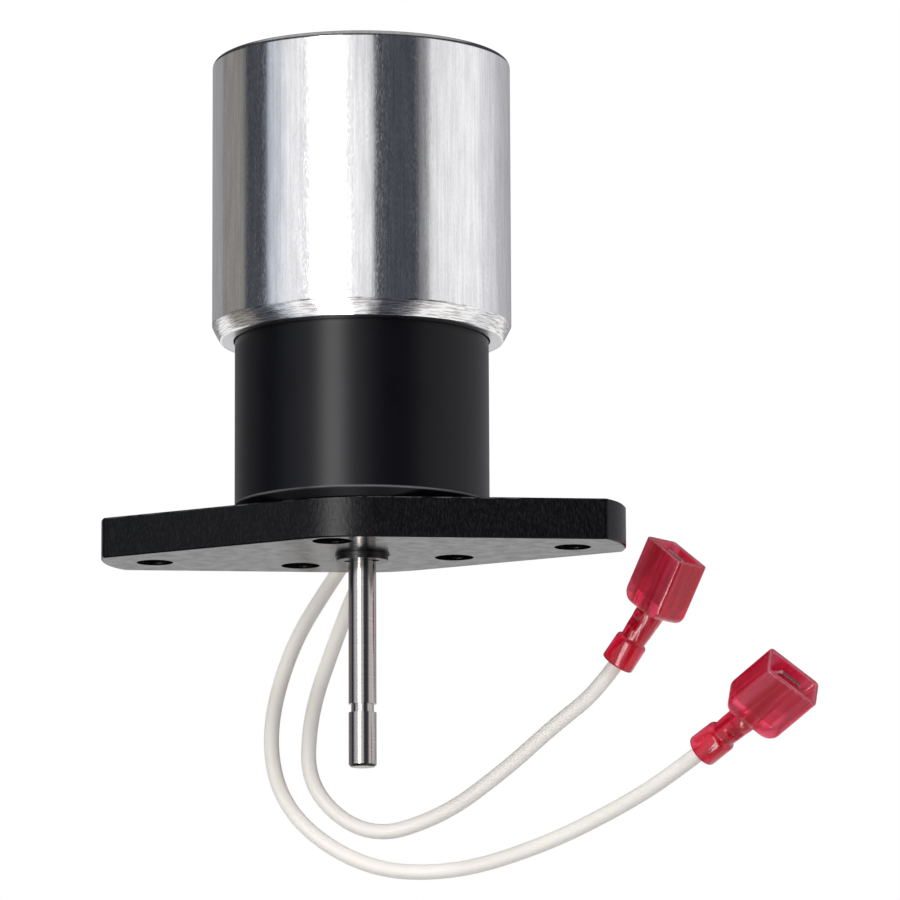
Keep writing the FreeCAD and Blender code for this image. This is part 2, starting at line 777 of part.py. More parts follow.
def make_spring():
    """Return spring of round wire with closed ends, between the floor and the shaft's seat."""
    end_pitch = s.spring_wire_radius * 2 + s.spring_end_gap
    end_rise = end_pitch * s.spring_end_turns
    start = housing_floor_top + s.spring_wire_radius
    finish = seat_height - s.spring_wire_radius
    open_rise = finish - start - end_rise * 2
    open_pitch = open_rise / s.spring_open_turns
    stretches = [
        (start, end_rise, end_pitch, 0),
        (start + end_rise, open_rise, open_pitch, s.spring_end_turns),
        (finish - end_rise, end_rise, end_pitch, s.spring_end_turns + s.spring_open_turns),
    ]
    lines = []
    for number, (height, rise, pitch, turns_before) in enumerate(stretches, start=1):
        helix = doc.addObject("Part::Helix", "spring_line_%d" % number)
        bind(helix, "Radius", s.spring_radius)
        bind(helix, "Height", rise)
        bind(helix, "Pitch", pitch)
        bind(helix, ".Placement.Base.z", height)
        bind(helix, ".Placement.Rotation.Angle", as_dim(turns_before) * 360)
        lines.append(helix)
    spine = doc.addObject("Part::Compound", "spring_line")
    spine.Links = lines
    wire = doc.addObject("Part::Circle", "spring_wire_section")
    bind(wire, "Radius", s.spring_wire_radius)
    wire.Placement = Placement(Vector(0, 0, 0), Rotation(Vector(1, 0, 0), 90))
    bind(wire, ".Placement.Base.x", s.spring_radius)
    bind(wire, ".Placement.Base.z", start)
    doc.recompute()
    coil = doc.addObject("Part::Sweep", "return_spring")
    coil.Sections = [wire]
    coil.Spine = (spine, ["Edge%d" % (index + 1) for index in range(len(lines))])
    coil.Solid = True
    coil.Frenet = True
    coil.Transition = "Transformed"
    keep(coil, "return_spring")
    seat_bore = s.shaft_radius + s.running_fit
    hub_bottom = seat_height - s.seat_hub_length
    turned("spring_seat", [
        (seat_bore, hub_bottom), (s.seat_hub_radius, hub_bottom),
        (s.seat_hub_radius, seat_height), (s.seat_radius, seat_height),
        (s.seat_radius, seat_top), (seat_bore, seat_top),
    ])


def lead_circles():
    """The two lead holes, side by side behind the shaft."""
    return [(lead_half_spacing * side, s.lead_rise_distance, s.lead_hole_radius)
            for side in (-1, 1)]


def make_pole_piece():
    """Fixed pole with a conical seat for the plunger, an O-ring groove and lead holes."""
    node = "pole_piece"
    body = new_body(node)
    groove_floor = flange_radius - s.can_groove_depth
    groove_low = s.housing_top + (s.pole_flange_thickness - s.can_groove_width) / 2
    groove_high = groove_low + s.can_groove_width
    spigot = housing_bore - s.can_fit
    bush_top = pole_bottom + s.bushing_length
    revolve(body, node, [
        (s.bushing_radius, pole_bottom), (spigot, pole_bottom), (spigot, s.housing_top),
        (flange_radius, s.housing_top), (flange_radius, groove_low), (groove_floor, groove_low),
        (groove_floor, groove_high), (flange_radius, groove_high),
        (flange_radius, pole_flange_top), (s.pole_radius, pole_flange_top),
        (s.pole_radius, pole_top), (cone_rim_radius, pole_top),
        (s.cone_tip_radius, cone_floor), (s.cone_tip_radius, cone_floor - s.shim_thickness),
        (s.shaft_passage, cone_floor - s.shim_thickness), (s.shaft_passage, bush_top),
        (s.bushing_radius, bush_top),
    ])
    cut_holes(body, "pole_lead_holes", lead_circles(), reverse=True)
    keep(body, node)
    turned("anti_stick_shim", ring_section(s.shaft_passage, s.cone_tip_radius - s.seal_play,
                                           cone_floor - s.shim_thickness, cone_floor))


def make_plunger():
    """Steel plunger with a conical nose, threaded on the shaft and locked by a thin nut."""
    bore = s.shaft_radius + s.ring_play
    pocket_bottom = plunger_top - s.nut_pocket_depth
    turned("plunger", [
        (bore, plunger_tip), (s.cone_tip_radius, plunger_tip),
        (cone_rim_radius, plunger_rim), (plunger_radius, plunger_rim),
        (plunger_radius, plunger_top), (s.nut_pocket_radius, plunger_top),
        (s.nut_pocket_radius, pocket_bottom), (bore, pocket_bottom),
    ])
    nut = doc.addObject("Part::Prism", "lock_nut_hexagon")
    nut.Polygon = 6
    bind(nut, "Circumradius", s.nut_across_corners_radius)
    bind(nut, "Height", s.nut_height)
    bind(nut, ".Placement.Base.z", pocket_bottom)
    hole = part_cylinder("lock_nut_hole", bore, s.nut_height, (0, 0, pocket_bottom))
    keep(part_cut("plunger_lock_nut", nut, [hole]), "plunger_lock_nut")


def make_coil():
    """Guide tube, bobbin, winding and tape, with the flux washer and bumper above."""
    turned("guide_tube", ring_section(guide_bore, guide_outer, pole_flange_top, flux_top))
    bobbin_bore = guide_outer + s.bobbin_fit
    tube_outer = bobbin_bore + s.bobbin_tube_wall
    bottom = pole_flange_top
    top = bobbin_top
    flange = s.bobbin_flange_thickness
    rim = can_bore - s.bobbin_side_gap
    winding_radius = rim - s.winding_inset
    node = "coil_bobbin"
    body = new_body(node)
    revolve(body, node, [
        (bobbin_bore, bottom), (rim, bottom), (rim, bottom + flange),
        (tube_outer, bottom + flange), (tube_outer, top - flange), (rim, top - flange),
        (rim, top), (bobbin_bore, top),
    ])
    cut_holes(body, "bobbin_lead_holes", lead_circles(), depth=flange, offset=bottom,
              reverse=True)
    keep(body, node)
    wound_bottom = bottom + flange + s.winding_fit
    wound_top = top - flange - s.winding_fit
    turned("coil_winding", ring_section(tube_outer + s.winding_fit, winding_radius,
                                        wound_bottom, wound_top))
    tape_inner = winding_radius + s.winding_fit
    turned("coil_tape", ring_section(tape_inner, tape_inner + s.coil_tape_thickness,
                                     wound_bottom, wound_top))
    turned("flux_washer", ring_section(guide_outer + s.guide_tube_fit, flange_radius,
                                       flux_bottom, flux_top))
    turned("bumper_pad", [(0, bumper_bottom), (s.bumper_radius, bumper_bottom),
                          (s.bumper_radius, can_roof), (0, can_roof)])
    return wound_bottom


def make_grommet():
    """Rubber grommet in the housing's back wall, with a hole for each lead."""
    node = "lead_grommet"
    body = new_body(node)
    lip_outer = housing_bore - s.grommet_lip_gap
    lip_inner = lip_outer - s.grommet_lip_thickness
    revolve(body, node, [
        (0, lip_inner), (s.grommet_lip_radius, lip_inner), (s.grommet_lip_radius, lip_outer),
        (s.grommet_radius, lip_outer), (s.grommet_radius, lead_seat),
        (s.grommet_flange_radius, lead_seat), (s.grommet_flange_radius, lead_exit),
        (0, lead_exit),
    ], role="XY_Plane")
    rims = []
    for index, edge in enumerate(body.Shape.Edges):
        curve = edge.Curve
        if isinstance(curve, Part.Circle) and abs(curve.Center.y - lead_exit.value) < SAME_PLACE:
            rims.append("Edge%d" % (index + 1))
    dress(body, "grommet_edge", "Fillet", rims, s.grommet_rounding)
    circles = [(lead_half_spacing * side, 0, s.lead_radius + s.lead_fit) for side in (-1, 1)]
    cut_holes(body, "grommet_holes", circles, role="XZ_Plane")
    bind(body, ".Placement.Base.z", s.lead_exit_height)
    keep(body, node)


def route_path(points, radius=None):
    """Straight runs joined by tangent arcs, with the arcs' radii in order."""
    edges = []
    radii = []
    start = points[0]
    for before, corner, after in zip(points, points[1:], points[2:]):
        into = (corner - before).normalize()
        out = (after - corner).normalize()
        half_turn = into.getAngle(out) / 2
        shorter = min(before.distanceToPoint(corner), corner.distanceToPoint(after))
        arc_radius = radius or ROUTE_ARC_SHARE * shorter / math.tan(half_turn)
        reach = arc_radius * math.tan(half_turn)
        arc_start = corner - into * reach
        arc_end = corner + out * reach
        inward = (out - into).normalize()
        centre = corner + inward * (arc_radius / math.cos(half_turn))
        middle = centre - inward * arc_radius
        edges.append(Part.LineSegment(start, arc_start).toShape())
        edges.append(Part.Arc(arc_start, middle, arc_end).toShape())
        start = arc_end
        radii.append(arc_radius)
    edges.append(Part.LineSegment(start, points[-1]).toShape())
    return Part.Wire(edges), radii


def tube(node, points, bore_radius, bend_radius=None):
    """A round tube along a route, checked against its section times its length."""
    path, radii = route_path(points, bend_radius)
    along = (points[1] - points[0]).normalize()
    rim = Part.Wire(Part.Circle(points[0], along, bore_radius).toShape())
    shape = path.makePipeShell([rim], True, False)
    expected = math.pi * bore_radius ** 2 * path.Length
    print("%s: length %.1f, volume %.1f of %.1f, radii %s" % (
        node, path.Length, shape.Volume, expected, ["%.1f" % r for r in radii]))
    if abs(shape.Volume - expected) > VOLUME_ERROR_SHARE * expected:
        raise ValueError(node + " has the wrong volume")
    item = doc.addObject("Part::Feature", node)
    item.Shape = shape
    return keep(item, node)


def lead_start(number):
    """Where a lead leaves the grommet."""
    side = -1 if number == 1 else 1
    return Vector(side * lead_half_spacing.value, lead_exit.value, s.lead_exit_height.value)


def lead_route(number):
    """A lead's free run, hung from where it leaves the grommet."""
    points = [Vector(*point) for point in LEAD_ROUTES[number]]
    shift = lead_start(number) - points[0]
    return [point + shift for point in points]


def make_leads(coil_end):
    """Each lead inside the housing, up to the coil, and its free run to the terminal."""
    for number in LEAD_ROUTES:
        start = lead_start(number)
        bend = Vector(start.x, s.lead_rise_distance.value, start.z)
        inner = [start, bend, Vector(bend.x, bend.y, coil_end.value)]
        tube("coil_lead_%d" % number, inner, s.lead_radius.value, s.lead_bend_radius.value)
        tube("lead_wire_%d" % number, lead_route(number), s.lead_radius.value)


def slab(body, name, half_width, half_thickness, rounding, offset=None):
    """A rounded rectangle sketch at a height above the body's own plane."""
    sketch = new_sketch(body, name, offset=offset)
    wide, thick, turn = as_dim(half_width), as_dim(half_thickness), as_dim(rounding)
    reach_x, reach_y, bend = wide.value, thick.value, turn.value
    flat_x, flat_y = reach_x - bend, reach_y - bend
    up = Vector(0, 0, 1)
    quarter = math.pi / 2
    corners = [(flat_x, flat_y), (-flat_x, flat_y), (-flat_x, -flat_y), (flat_x, -flat_y)]
    for index, (x, y) in enumerate(corners):
        circle = Part.Circle(Vector(x, y, 0), up, bend)
        arc = Part.ArcOfCircle(circle, index * quarter, (index + 1) * quarter)
        sketch.addGeometry(arc, False)
    for index in range(4):
        start = sketch.Geometry[index].EndPoint
        end = sketch.Geometry[(index + 1) % 4].StartPoint
        sketch.addGeometry(Part.LineSegment(start, end), False)
    for index in range(4):
        following = (index + 1) % 4
        sketch.addConstraint(Sketcher.Constraint("Tangent", index, 2, 4 + index, 1))
        sketch.addConstraint(Sketcher.Constraint("Tangent", 4 + index, 2, following, 1))
    signs = [(1, 1), (-1, 1), (-1, -1), (1, -1)]
    for index, (sign_x, sign_y) in enumerate(signs):
        hold_point(sketch, index, 3, (wide - turn) * sign_x, (thick - turn) * sign_y)
    hold(sketch, "Radius", 0, turn)
    return sketch


def terminal_place(number):
    """Where a terminal's box stands and where its barrel points, from the lead's last run."""
    before, seat = lead_route(number)[-2:]
    along = (seat - before).normalize()
    knee = seat + along * s.ferrule_end.value
    box_axis = Vector(*TERMINAL_BOX_AXES[number])
    wide_axis = Vector(*TERMINAL_WIDE_AXES[number])
    thin_axis = box_axis.cross(wide_axis)
    box_turn = Rotation(wide_axis, thin_axis, box_axis, "ZXY")
    barrel_turn = Rotation(wide_axis, thin_axis, -along, "ZXY")
    return Placement(knee, box_turn), Placement(knee, barrel_turn)


def make_terminal(number):
    """Insulated male quick-disconnect: nylon housing with a box, barrel and funnel; metal blade."""
    box_place, barrel_place = terminal_place(number)
    name = "terminal_%d" % number
    half_width = s.terminal_box_width / 2
    half_thickness = s.terminal_box_thickness / 2

    # The shoulder is a quarter round, drawn through its foot, its middle and its start
    foot_thickness = s.terminal_shoulder_thickness / 2
    rise = s.terminal_shoulder * ROUND_INSET
    box = new_body(name + "_box")
    foot = slab(box, name + "_shoulder_foot", half_width - s.terminal_shoulder, foot_thickness,
                s.terminal_box_rounding)
    middle = slab(box, name + "_shoulder_middle", half_width - rise,
                  half_thickness - (half_thickness - foot_thickness) * ROUND_INSET,
                  s.terminal_box_rounding, offset=rise)
    start = slab(box, name + "_box_foot", half_width, half_thickness, s.terminal_box_rounding,
                 offset=s.terminal_shoulder)
    loft = box.newObject("PartDesign::AdditiveLoft", name + "_shoulder")
    loft.Profile = foot
    loft.Sections = [middle, start]
    loft.Ruled = True
    wall = slab(box, name + "_box_walls", half_width, half_thickness, s.terminal_box_rounding,
                offset=s.terminal_shoulder)
    pad = box.newObject("PartDesign::Pad", name + "_walls")
    pad.Profile = wall
    bind(pad, "Length", s.terminal_box_length - s.terminal_shoulder)
    inside = slab(box, name + "_mouth", half_width - s.terminal_box_wall,
                  half_thickness - s.terminal_box_wall,
                  s.terminal_box_rounding - s.terminal_box_wall, offset=s.terminal_box_length)
    mouth = box.newObject("PartDesign::Pocket", name + "_cavity")
    mouth.Profile = inside
    bind(mouth, "Length", s.terminal_box_length - s.terminal_floor)
    doc.recompute()
    box.Placement = box_place

    step_end = s.barrel_length + s.funnel_step
    barrel = new_body(name + "_barrel")
    revolve(barrel, name + "_barrel", [
        (0, 0), (s.barrel_root_radius, 0), (s.barrel_waist_radius, s.barrel_length),
        (s.funnel_radius, step_end), (s.funnel_mouth_radius, s.funnel_end), (0, s.funnel_end),
    ])
    barrel.Placement = barrel_place
    bore_radius = s.ferrule_radius + s.ferrule_fit
    bore = new_body(name + "_bore")
    revolve(bore, name + "_bore", [
        (0, -s.terminal_floor), (bore_radius, -s.terminal_floor), (bore_radius, s.ferrule_end),
        (s.funnel_bore_radius, s.funnel_end), (0, s.funnel_end),
    ])
    bore.Placement = barrel_place
    dents = []
    for side in (-1, 1):
        dent = doc.addObject("Part::Cylinder", "%s_dent_%d" % (name, side + 2))
        bind(dent, "Radius", s.dent_radius)
        bind(dent, "Height", s.terminal_box_width)
        reach = s.barrel_root_radius.value - s.dent_depth.value + s.dent_radius.value
        lying = Rotation(Vector(0, 1, 0), 90)
        local = Placement(Vector(-half_width.value, side * reach, s.dent_place.value), lying)
        dent.Placement = barrel_place.multiply(local)
        dents.append(dent)
    whole = doc.addObject("Part::Fuse", name + "_whole")
    whole.Base = box
    whole.Tool = barrel
    shell = part_cut("terminal_insulator_%d" % number, whole, [bore] + dents)
    keep(shell, "terminal_insulator_%d" % number)

    blade = new_body(name + "_blade")
    half_blade = s.blade_width / 2
    half_neck = s.blade_neck_width / 2
    tip = s.terminal_box_length - s.blade_recess
    outline = new_sketch(blade, name + "_blade_outline", "XZ_Plane")
    draw_outline(outline, [
        (-half_neck, 0), (half_neck, 0), (half_neck, s.blade_shoulder_height),
        (half_blade, s.blade_shoulder_height), (half_blade, tip - s.blade_tip_chamfer),
        (half_blade - s.blade_tip_chamfer, tip), (s.blade_tip_chamfer - half_blade, tip),
        (-half_blade, tip - s.blade_tip_chamfer), (-half_blade, s.blade_shoulder_height),
        (-half_neck, s.blade_shoulder_height),
    ])
    stamping = blade.newObject("PartDesign::Pad", name + "_stamping")
    stamping.Profile = outline
    stamping.Midplane = True
    bind(stamping, "Length", s.blade_thickness)
    doc.recompute()
    blade.Placement = box_place
    ferrule = new_body(name + "_ferrule")
    closed = s.blade_thickness
    revolve(ferrule, name + "_ferrule", [
        (0, -closed), (s.ferrule_radius, -closed), (s.ferrule_radius, s.ferrule_end),
        (s.ferrule_bore_radius, s.ferrule_end), (s.ferrule_bore_radius, closed), (0, closed),
    ])
    ferrule.Placement = barrel_place
    metal = doc.addObject("Part::Fuse", "terminal_blade_%d" % number)
    metal.Base = blade
    metal.Tool = ferrule
    keep(metal, "terminal_blade_%d" % number)


def check_document():
    """Stop before anything is written if a feature failed or a shape isn't sound."""
    doc.recompute()
    for item in doc.Objects:
        if "Invalid" in item.State or "Error" in item.State:
            raise ValueError("%s failed: %s" % (item.Name, item.State))
    for item in NODES:
        shape = item.Shape
        if shape.isNull() or not shape.isValid():
            raise ValueError(item.Label + " has no sound shape")


def export_nodes():
    os.makedirs("parts", exist_ok=True)
    for item in NODES:
        item.Shape.exportStep(os.path.join("parts", item.Label + ".step"))
        print("%-24s %2d solid(s) %10.1f mm3" % (
            item.Label, len(item.Shape.Solids), item.Shape.Volume))
    print("%d nodes written" % len(NODES))


slope_inner, slope_top = make_can()
make_housing(slope_inner, slope_top)
make_plate()
make_screws()
make_shaft()
make_bearings_and_seals()
make_spring()
make_pole_piece()
make_plunger()
coil_end = make_coil()
make_grommet()
make_leads(coil_end)
for number in LEAD_ROUTES:
    make_terminal(number)
check_document()
export_nodes()
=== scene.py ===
# %% [markdown]
# # Injection pump actuator
#
# A push-type solenoid in a crimped bright can stands on a black spring housing and a
# two-hole mounting plate. A ground shaft comes out below, and two insulated leads with
# red nylon push-on terminals come out behind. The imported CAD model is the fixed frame,
# and each cell here gives one part of it the finish, or the shape, that the real one has.

import json
import math

import bmesh
import bpy
from mathutils import Matrix, Vector


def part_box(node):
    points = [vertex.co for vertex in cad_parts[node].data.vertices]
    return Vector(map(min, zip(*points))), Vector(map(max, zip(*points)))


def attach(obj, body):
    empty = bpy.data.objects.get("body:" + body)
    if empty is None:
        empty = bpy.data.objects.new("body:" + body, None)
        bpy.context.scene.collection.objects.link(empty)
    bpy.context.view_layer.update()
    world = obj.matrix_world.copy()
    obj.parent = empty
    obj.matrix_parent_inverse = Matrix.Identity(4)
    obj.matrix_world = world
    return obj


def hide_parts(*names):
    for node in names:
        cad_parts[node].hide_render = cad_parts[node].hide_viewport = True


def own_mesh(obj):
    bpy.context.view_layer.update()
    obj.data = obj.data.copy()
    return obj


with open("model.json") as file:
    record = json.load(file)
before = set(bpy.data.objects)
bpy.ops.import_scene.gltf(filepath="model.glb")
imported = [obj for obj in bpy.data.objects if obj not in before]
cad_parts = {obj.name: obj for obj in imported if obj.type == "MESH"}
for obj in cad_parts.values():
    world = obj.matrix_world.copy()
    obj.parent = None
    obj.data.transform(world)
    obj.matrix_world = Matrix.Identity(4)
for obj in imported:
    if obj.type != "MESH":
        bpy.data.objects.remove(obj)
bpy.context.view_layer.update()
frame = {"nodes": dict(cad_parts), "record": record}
MM = 0.001
print("frame loaded, nodes:", len(frame["nodes"]))


def new_object(name, data):
    """An object in the scene, round the given data."""
    made = bpy.data.objects.new(name, data)
    bpy.context.collection.objects.link(made)
    return made


# %% [markdown]
# ## Camera
#
# A long lens from about a metre away, a little below the part and looking up, so the
# plate's underside shows. The actuator is turned about its shaft against the camera.
# The camera comes first, because everything later is judged through it.

# %% Camera
CAMERA_PLACE = Vector((0.2356, -1.0368, -0.1650))
CAMERA_HEADING = math.radians(11.95)
CAMERA_PITCH = math.radians(9.82)
CAMERA_ROLL = math.radians(-0.26)
LENS_MM = 240
SENSOR_MM = 36

camera_data = bpy.data.cameras.new("photo_camera")
camera_data.lens = LENS_MM
camera_data.sensor_width = SENSOR_MM
camera_data.clip_start = 0.05
camera_data.clip_end = 50
camera = new_object("photo_camera", camera_data)
camera.matrix_world = (
    Matrix.Translation(CAMERA_PLACE)
    @ Matrix.Rotation(CAMERA_HEADING, 4, "Z")
    @ Matrix.Rotation(math.pi / 2 + CAMERA_PITCH, 4, "X")
    @ Matrix.Rotation(CAMERA_ROLL, 4, "Z")
)
bpy.context.scene.camera = camera
bpy.context.scene.view_settings.view_transform = "Standard"
print("camera at", [round(value, 3) for value in camera.location])

# %% [markdown]
# ## Leads
#
# Two stranded wires in ivory insulation, 2.8 mm thick, leave a grommet at the back, drop
# below the plate and swing round to the front right. Each is one smooth NURBS spline on
# the points of its CAD route, with a round bevel, so it bends as a springy wire does.

# %% Leads
LEAD_RADIUS = 1.4 * MM
LEAD_RUNS = {
    1: [
        (-1.9, 23.4, 27.0), (-1.9, 33.2, 27.0), (-4.0, 42.0, 22.2), (-8.6, 46.0, 13.2),
        (-15.4, 44.0, 3.0), (-22.8, 38.9, -11.0), (-26.2, 34.6, -28.6), (-21.4, 31.5, -43.2),
        (-6.5, 30.3, -53.5), (10.4, 28.5, -54.8), (27.9, 25.3, -50.4), (43.2, 19.6, -44.4),
        (53.6, 12.9, -39.7), (63.2, 8.1, -33.75),
    ],
    2: [
        (1.9, 23.4, 27.0), (1.9, 33.2, 27.0), (0.4, 42.0, 22.4), (-3.6, 46.2, 13.8),
        (-10.4, 44.4, 3.0), (-14.7, 40.3, -10.6), (-18.4, 36.3, -24.4), (-17.9, 33.4, -38.3),
        (-6.4, 32.9, -47.6), (7.5, 32.5, -43.9), (19.6, 31.1, -35.8), (29.3, 29.2, -28.0),
        (37.8, 28.8, -21.8), (43.9, 26.6, -13.8),
    ],
}


def make_lead(number):
    """One lead as a bevelled NURBS curve through its route's control points."""
    curve = bpy.data.curves.new("lead_%d" % number, "CURVE")
    curve.dimensions = "3D"
    curve.resolution_u = 16
    curve.bevel_depth = LEAD_RADIUS
    curve.bevel_resolution = 6
    curve.use_fill_caps = True
    spline = curve.splines.new("NURBS")
    run = LEAD_RUNS[number]
    spline.points.add(len(run) - 1)
    for point, place in zip(spline.points, run):
        point.co = (*(value * MM for value in place), 1)
    spline.order_u = 3
    spline.use_endpoint_u = True
    return new_object("lead_%d" % number, curve)


leads = {number: make_lead(number) for number in LEAD_RUNS}
print("leads:", [lead.name for lead in leads.values()])

# %% [markdown]
# ## Studio
#
# The photograph was taken in a white tent, and what the bright can mirrors is that tent:
# a very bright panel in front, dark gaps between the panels and greyer sides. The world's
# colour follows the compass round the part to give those panels. Above them runs a dark
# seam, which draws the line under the can's rim, and over it a grey roof. Low behind it is
# pale, which the plate's black underside mirrors at a grazing angle. To the camera, and
# through the clear nylon, it is plain white paper.

# %% Studio
TENT_PANELS = [
    (-180, (0.33, 0.33, 0.34)), (-137, (0.33, 0.33, 0.34)), (-133, (0.22, 0.22, 0.23)),
    (-128, (0.27, 0.255, 0.24)), (-104, (0.27, 0.255, 0.24)), (-100, (0.06, 0.065, 0.08)),
    (-79, (0.06, 0.065, 0.08)), (-75, (0.60, 0.65, 0.72)), (-65, (0.64, 0.68, 0.74)),
    (-61, (0.95, 0.95, 0.97)), (-47, (0.95, 0.95, 0.97)), (-44, (0.84, 0.84, 0.87)),
    (-41, (0.92, 0.92, 0.94)), (-37, (1.15, 1.15, 1.15)), (-33, (11.0, 11.0, 11.0)),
    (-19, (11.0, 11.0, 11.0)), (-15, (1.10, 1.10, 1.10)), (-8, (0.96, 0.96, 0.98)),
    (8, (0.92, 0.92, 0.94)), (10, (0.07, 0.075, 0.09)),
    (44, (0.06, 0.065, 0.08)), (46, (0.28, 0.28, 0.29)), (52, (0.30, 0.30, 0.31)),
    (55, (0.90, 0.90, 0.91)), (90, (1.00, 1.00, 1.01)), (102, (0.95, 0.95, 0.97)),
    (110, (0.76, 0.76, 0.79)), (122, (0.70, 0.70, 0.74)), (130, (0.54, 0.54, 0.56)),
    (150, (0.44, 0.44, 0.46)),
    (180, (0.33, 0.33, 0.34)),
]
TENT_SEAM = (0.265, 0.30, (0.05, 0.05, 0.055))
TENT_ROOF = (0.66, 0.76, (0.38, 0.38, 0.38))
TENT_FLOOR = (0.93, 0.985, (0.45, 0.45, 0.46))
TENT_LOW_BACK = (0.04, 0.09, (0.95, 0.95, 0.95))
LOW_BACK_ANGLES = (2.1, 2.4)
TENT_TURN = math.radians(-12.8)
FLOOR_DEPTH = 0.18
FLOOR_HALF = 4.0

world = bpy.data.worlds.new("photo_tent")
bpy.context.scene.world = world
world.use_nodes = True
sky = world.node_tree
sky.nodes.clear()


def add_node(tree, kind, settings=None, values=None, **sockets):
    """Add a node; a socket that is given another node's socket is linked to it."""
    made = tree.nodes.new(kind)
    for name, value in (settings or {}).items():
        setattr(made, name, value)
    given = {name.replace("_", " "): value for name, value in sockets.items()}
    given.update(enumerate(values or ()))
    for name, value in given.items():
        if isinstance(value, bpy.types.NodeSocket):
            tree.links.new(value, made.inputs[name])
        else:
            made.inputs[name].default_value = value
    return made


def calculate(tree, operation, *values):
    """The result of a Math node."""
    return add_node(tree, "ShaderNodeMath", {"operation": operation}, values).outputs[0]


def parts(tree, vector):
    """The X, Y and Z of a vector."""
    return add_node(tree, "ShaderNodeSeparateXYZ", Vector=vector).outputs


def joined(tree, **sockets):
    """A vector from its X, Y and Z."""
    return add_node(tree, "ShaderNodeCombineXYZ", **sockets).outputs[0]


def divided(tree, vector, size):
    """A vector over another, or over a number in all three."""
    return add_node(tree, "ShaderNodeVectorMath", {"operation": "DIVIDE"}, [vector, size]).outputs[0]


def noise(tree, vector, size, settings=None, **values):
    """Noise from 0 to 1, in clouds of the given size."""
    return add_node(tree, "ShaderNodeTexNoise", settings, Vector=divided(tree, vector, size),
                    Scale=1.0, **values).outputs["Fac"]


def ramp(tree, factor, stops):
    """A colour ramp with the given places and colours."""
    made = add_node(tree, "ShaderNodeValToRGB", Fac=factor)
    elements = made.color_ramp.elements
    while len(elements) < len(stops):
        elements.new(1.0)
    for element, (place, colour) in zip(elements, stops):
        element.position = place
        element.color = (*colour, 1)
    return made.outputs["Color"]


def rises(tree, value, low, high):
    """A smooth step from 0 at low to 1 at high."""
    return add_node(tree, "ShaderNodeMapRange", {"interpolation_type": "SMOOTHSTEP"},
                    Value=value, From_Min=low, From_Max=high).outputs[0]


def blended(tree, factor, low, high):
    """A colour that runs from low to high with the factor; each is a socket or a colour."""
    low, high = (tone if isinstance(tone, bpy.types.NodeSocket) else (*tone, 1)
                 for tone in (low, high))
    made = add_node(tree, "ShaderNodeMix", {"data_type": "RGBA"}, Factor=factor, A=low, B=high)
    return made.outputs["Result"]


look = add_node(sky, "ShaderNodeTexCoord").outputs["Generated"]
turned_look = add_node(sky, "ShaderNodeVectorRotate", {"rotation_type": "Z_AXIS"},
                       Vector=look, Angle=TENT_TURN)
look_parts = parts(sky, turned_look.outputs[0])
height = look_parts["Z"]
facing = calculate(sky, "MULTIPLY", look_parts["Y"], -1.0)
compass = calculate(sky, "ARCTAN2", look_parts["X"], facing)
round_share = calculate(sky, "MULTIPLY_ADD", compass, 1 / (2 * math.pi), 0.5)
tent = ramp(sky, round_share, [((angle + 180) / 360, tone) for angle, tone in TENT_PANELS])
depth = calculate(sky, "MULTIPLY", height, -1.0)
behind = rises(sky, calculate(sky, "ABSOLUTE", compass), *LOW_BACK_ANGLES)
low_back = calculate(sky, "MULTIPLY", behind, rises(sky, depth, *TENT_LOW_BACK[:2]))
tent = blended(sky, low_back, tent, TENT_LOW_BACK[2])
for level, (low, high, tone) in ((height, TENT_SEAM), (height, TENT_ROOF), (depth, TENT_FLOOR)):
    tent = blended(sky, rises(sky, level, low, high), tent, tone)
tent_light = add_node(sky, "ShaderNodeBackground", Color=tent, Strength=1.0)
plain_white = add_node(sky, "ShaderNodeBackground", Color=(1, 1, 1, 1), Strength=1.0)
ray = add_node(sky, "ShaderNodeLightPath").outputs
seen = calculate(sky, "MAXIMUM", ray["Is Camera Ray"], ray["Is Transmission Ray"])
background = add_node(sky, "ShaderNodeMixShader", values=(
    seen, tent_light.outputs[0], plain_white.outputs[0]))
add_node(sky, "ShaderNodeOutputWorld", Surface=background.outputs[0])
print("tent panels:", len(TENT_PANELS))

# %% [markdown]
# ## Floor and lights
#
# A plain pale floor lies well below the part, which hangs by its plate as it does on a
# machine. It throws soft light up on the plate's underside, but the bright metal mirrors
# the tent in its place. Large soft lights from above left and above right model the round
# forms of the leads and terminals, and are kept out of the mirrors too.

# %% Floor and lights
floor_mesh = bpy.data.meshes.new("studio_floor")
floor_corners = [(x * FLOOR_HALF, y * FLOOR_HALF, -FLOOR_DEPTH)
                 for x, y in ((-1, -1), (1, -1), (1, 1), (-1, 1))]
floor_mesh.from_pydata(floor_corners, [], [(0, 1, 2, 3)])
studio_floor = new_object("studio_floor", floor_mesh)
pale_paper = bpy.data.materials.new("pale_paper")
pale_paper.use_nodes = True
paper_shader = pale_paper.node_tree.nodes["Principled BSDF"]
paper_shader.inputs["Base Color"].default_value = (0.86, 0.86, 0.86, 1)
paper_shader.inputs["Roughness"].default_value = 0.9
floor_mesh.materials.append(pale_paper)
studio_floor.visible_glossy = False


def soft_light(name, place, size, power):
    """A square area light that looks at the part, unseen in its mirrors."""
    data = bpy.data.lights.new(name, "AREA")
    data.size = size
    data.energy = power
    light = new_object(name, data)
    light.location = place
    light.rotation_euler = (-Vector(place)).to_track_quat("-Z", "Y").to_euler()
    light.visible_glossy = False


soft_light("key_light", (-0.7, -1.0, 0.9), 0.6, 9)
soft_light("fill_light", (0.9, -0.8, 0.7), 0.6, 7)
print("stage ready")
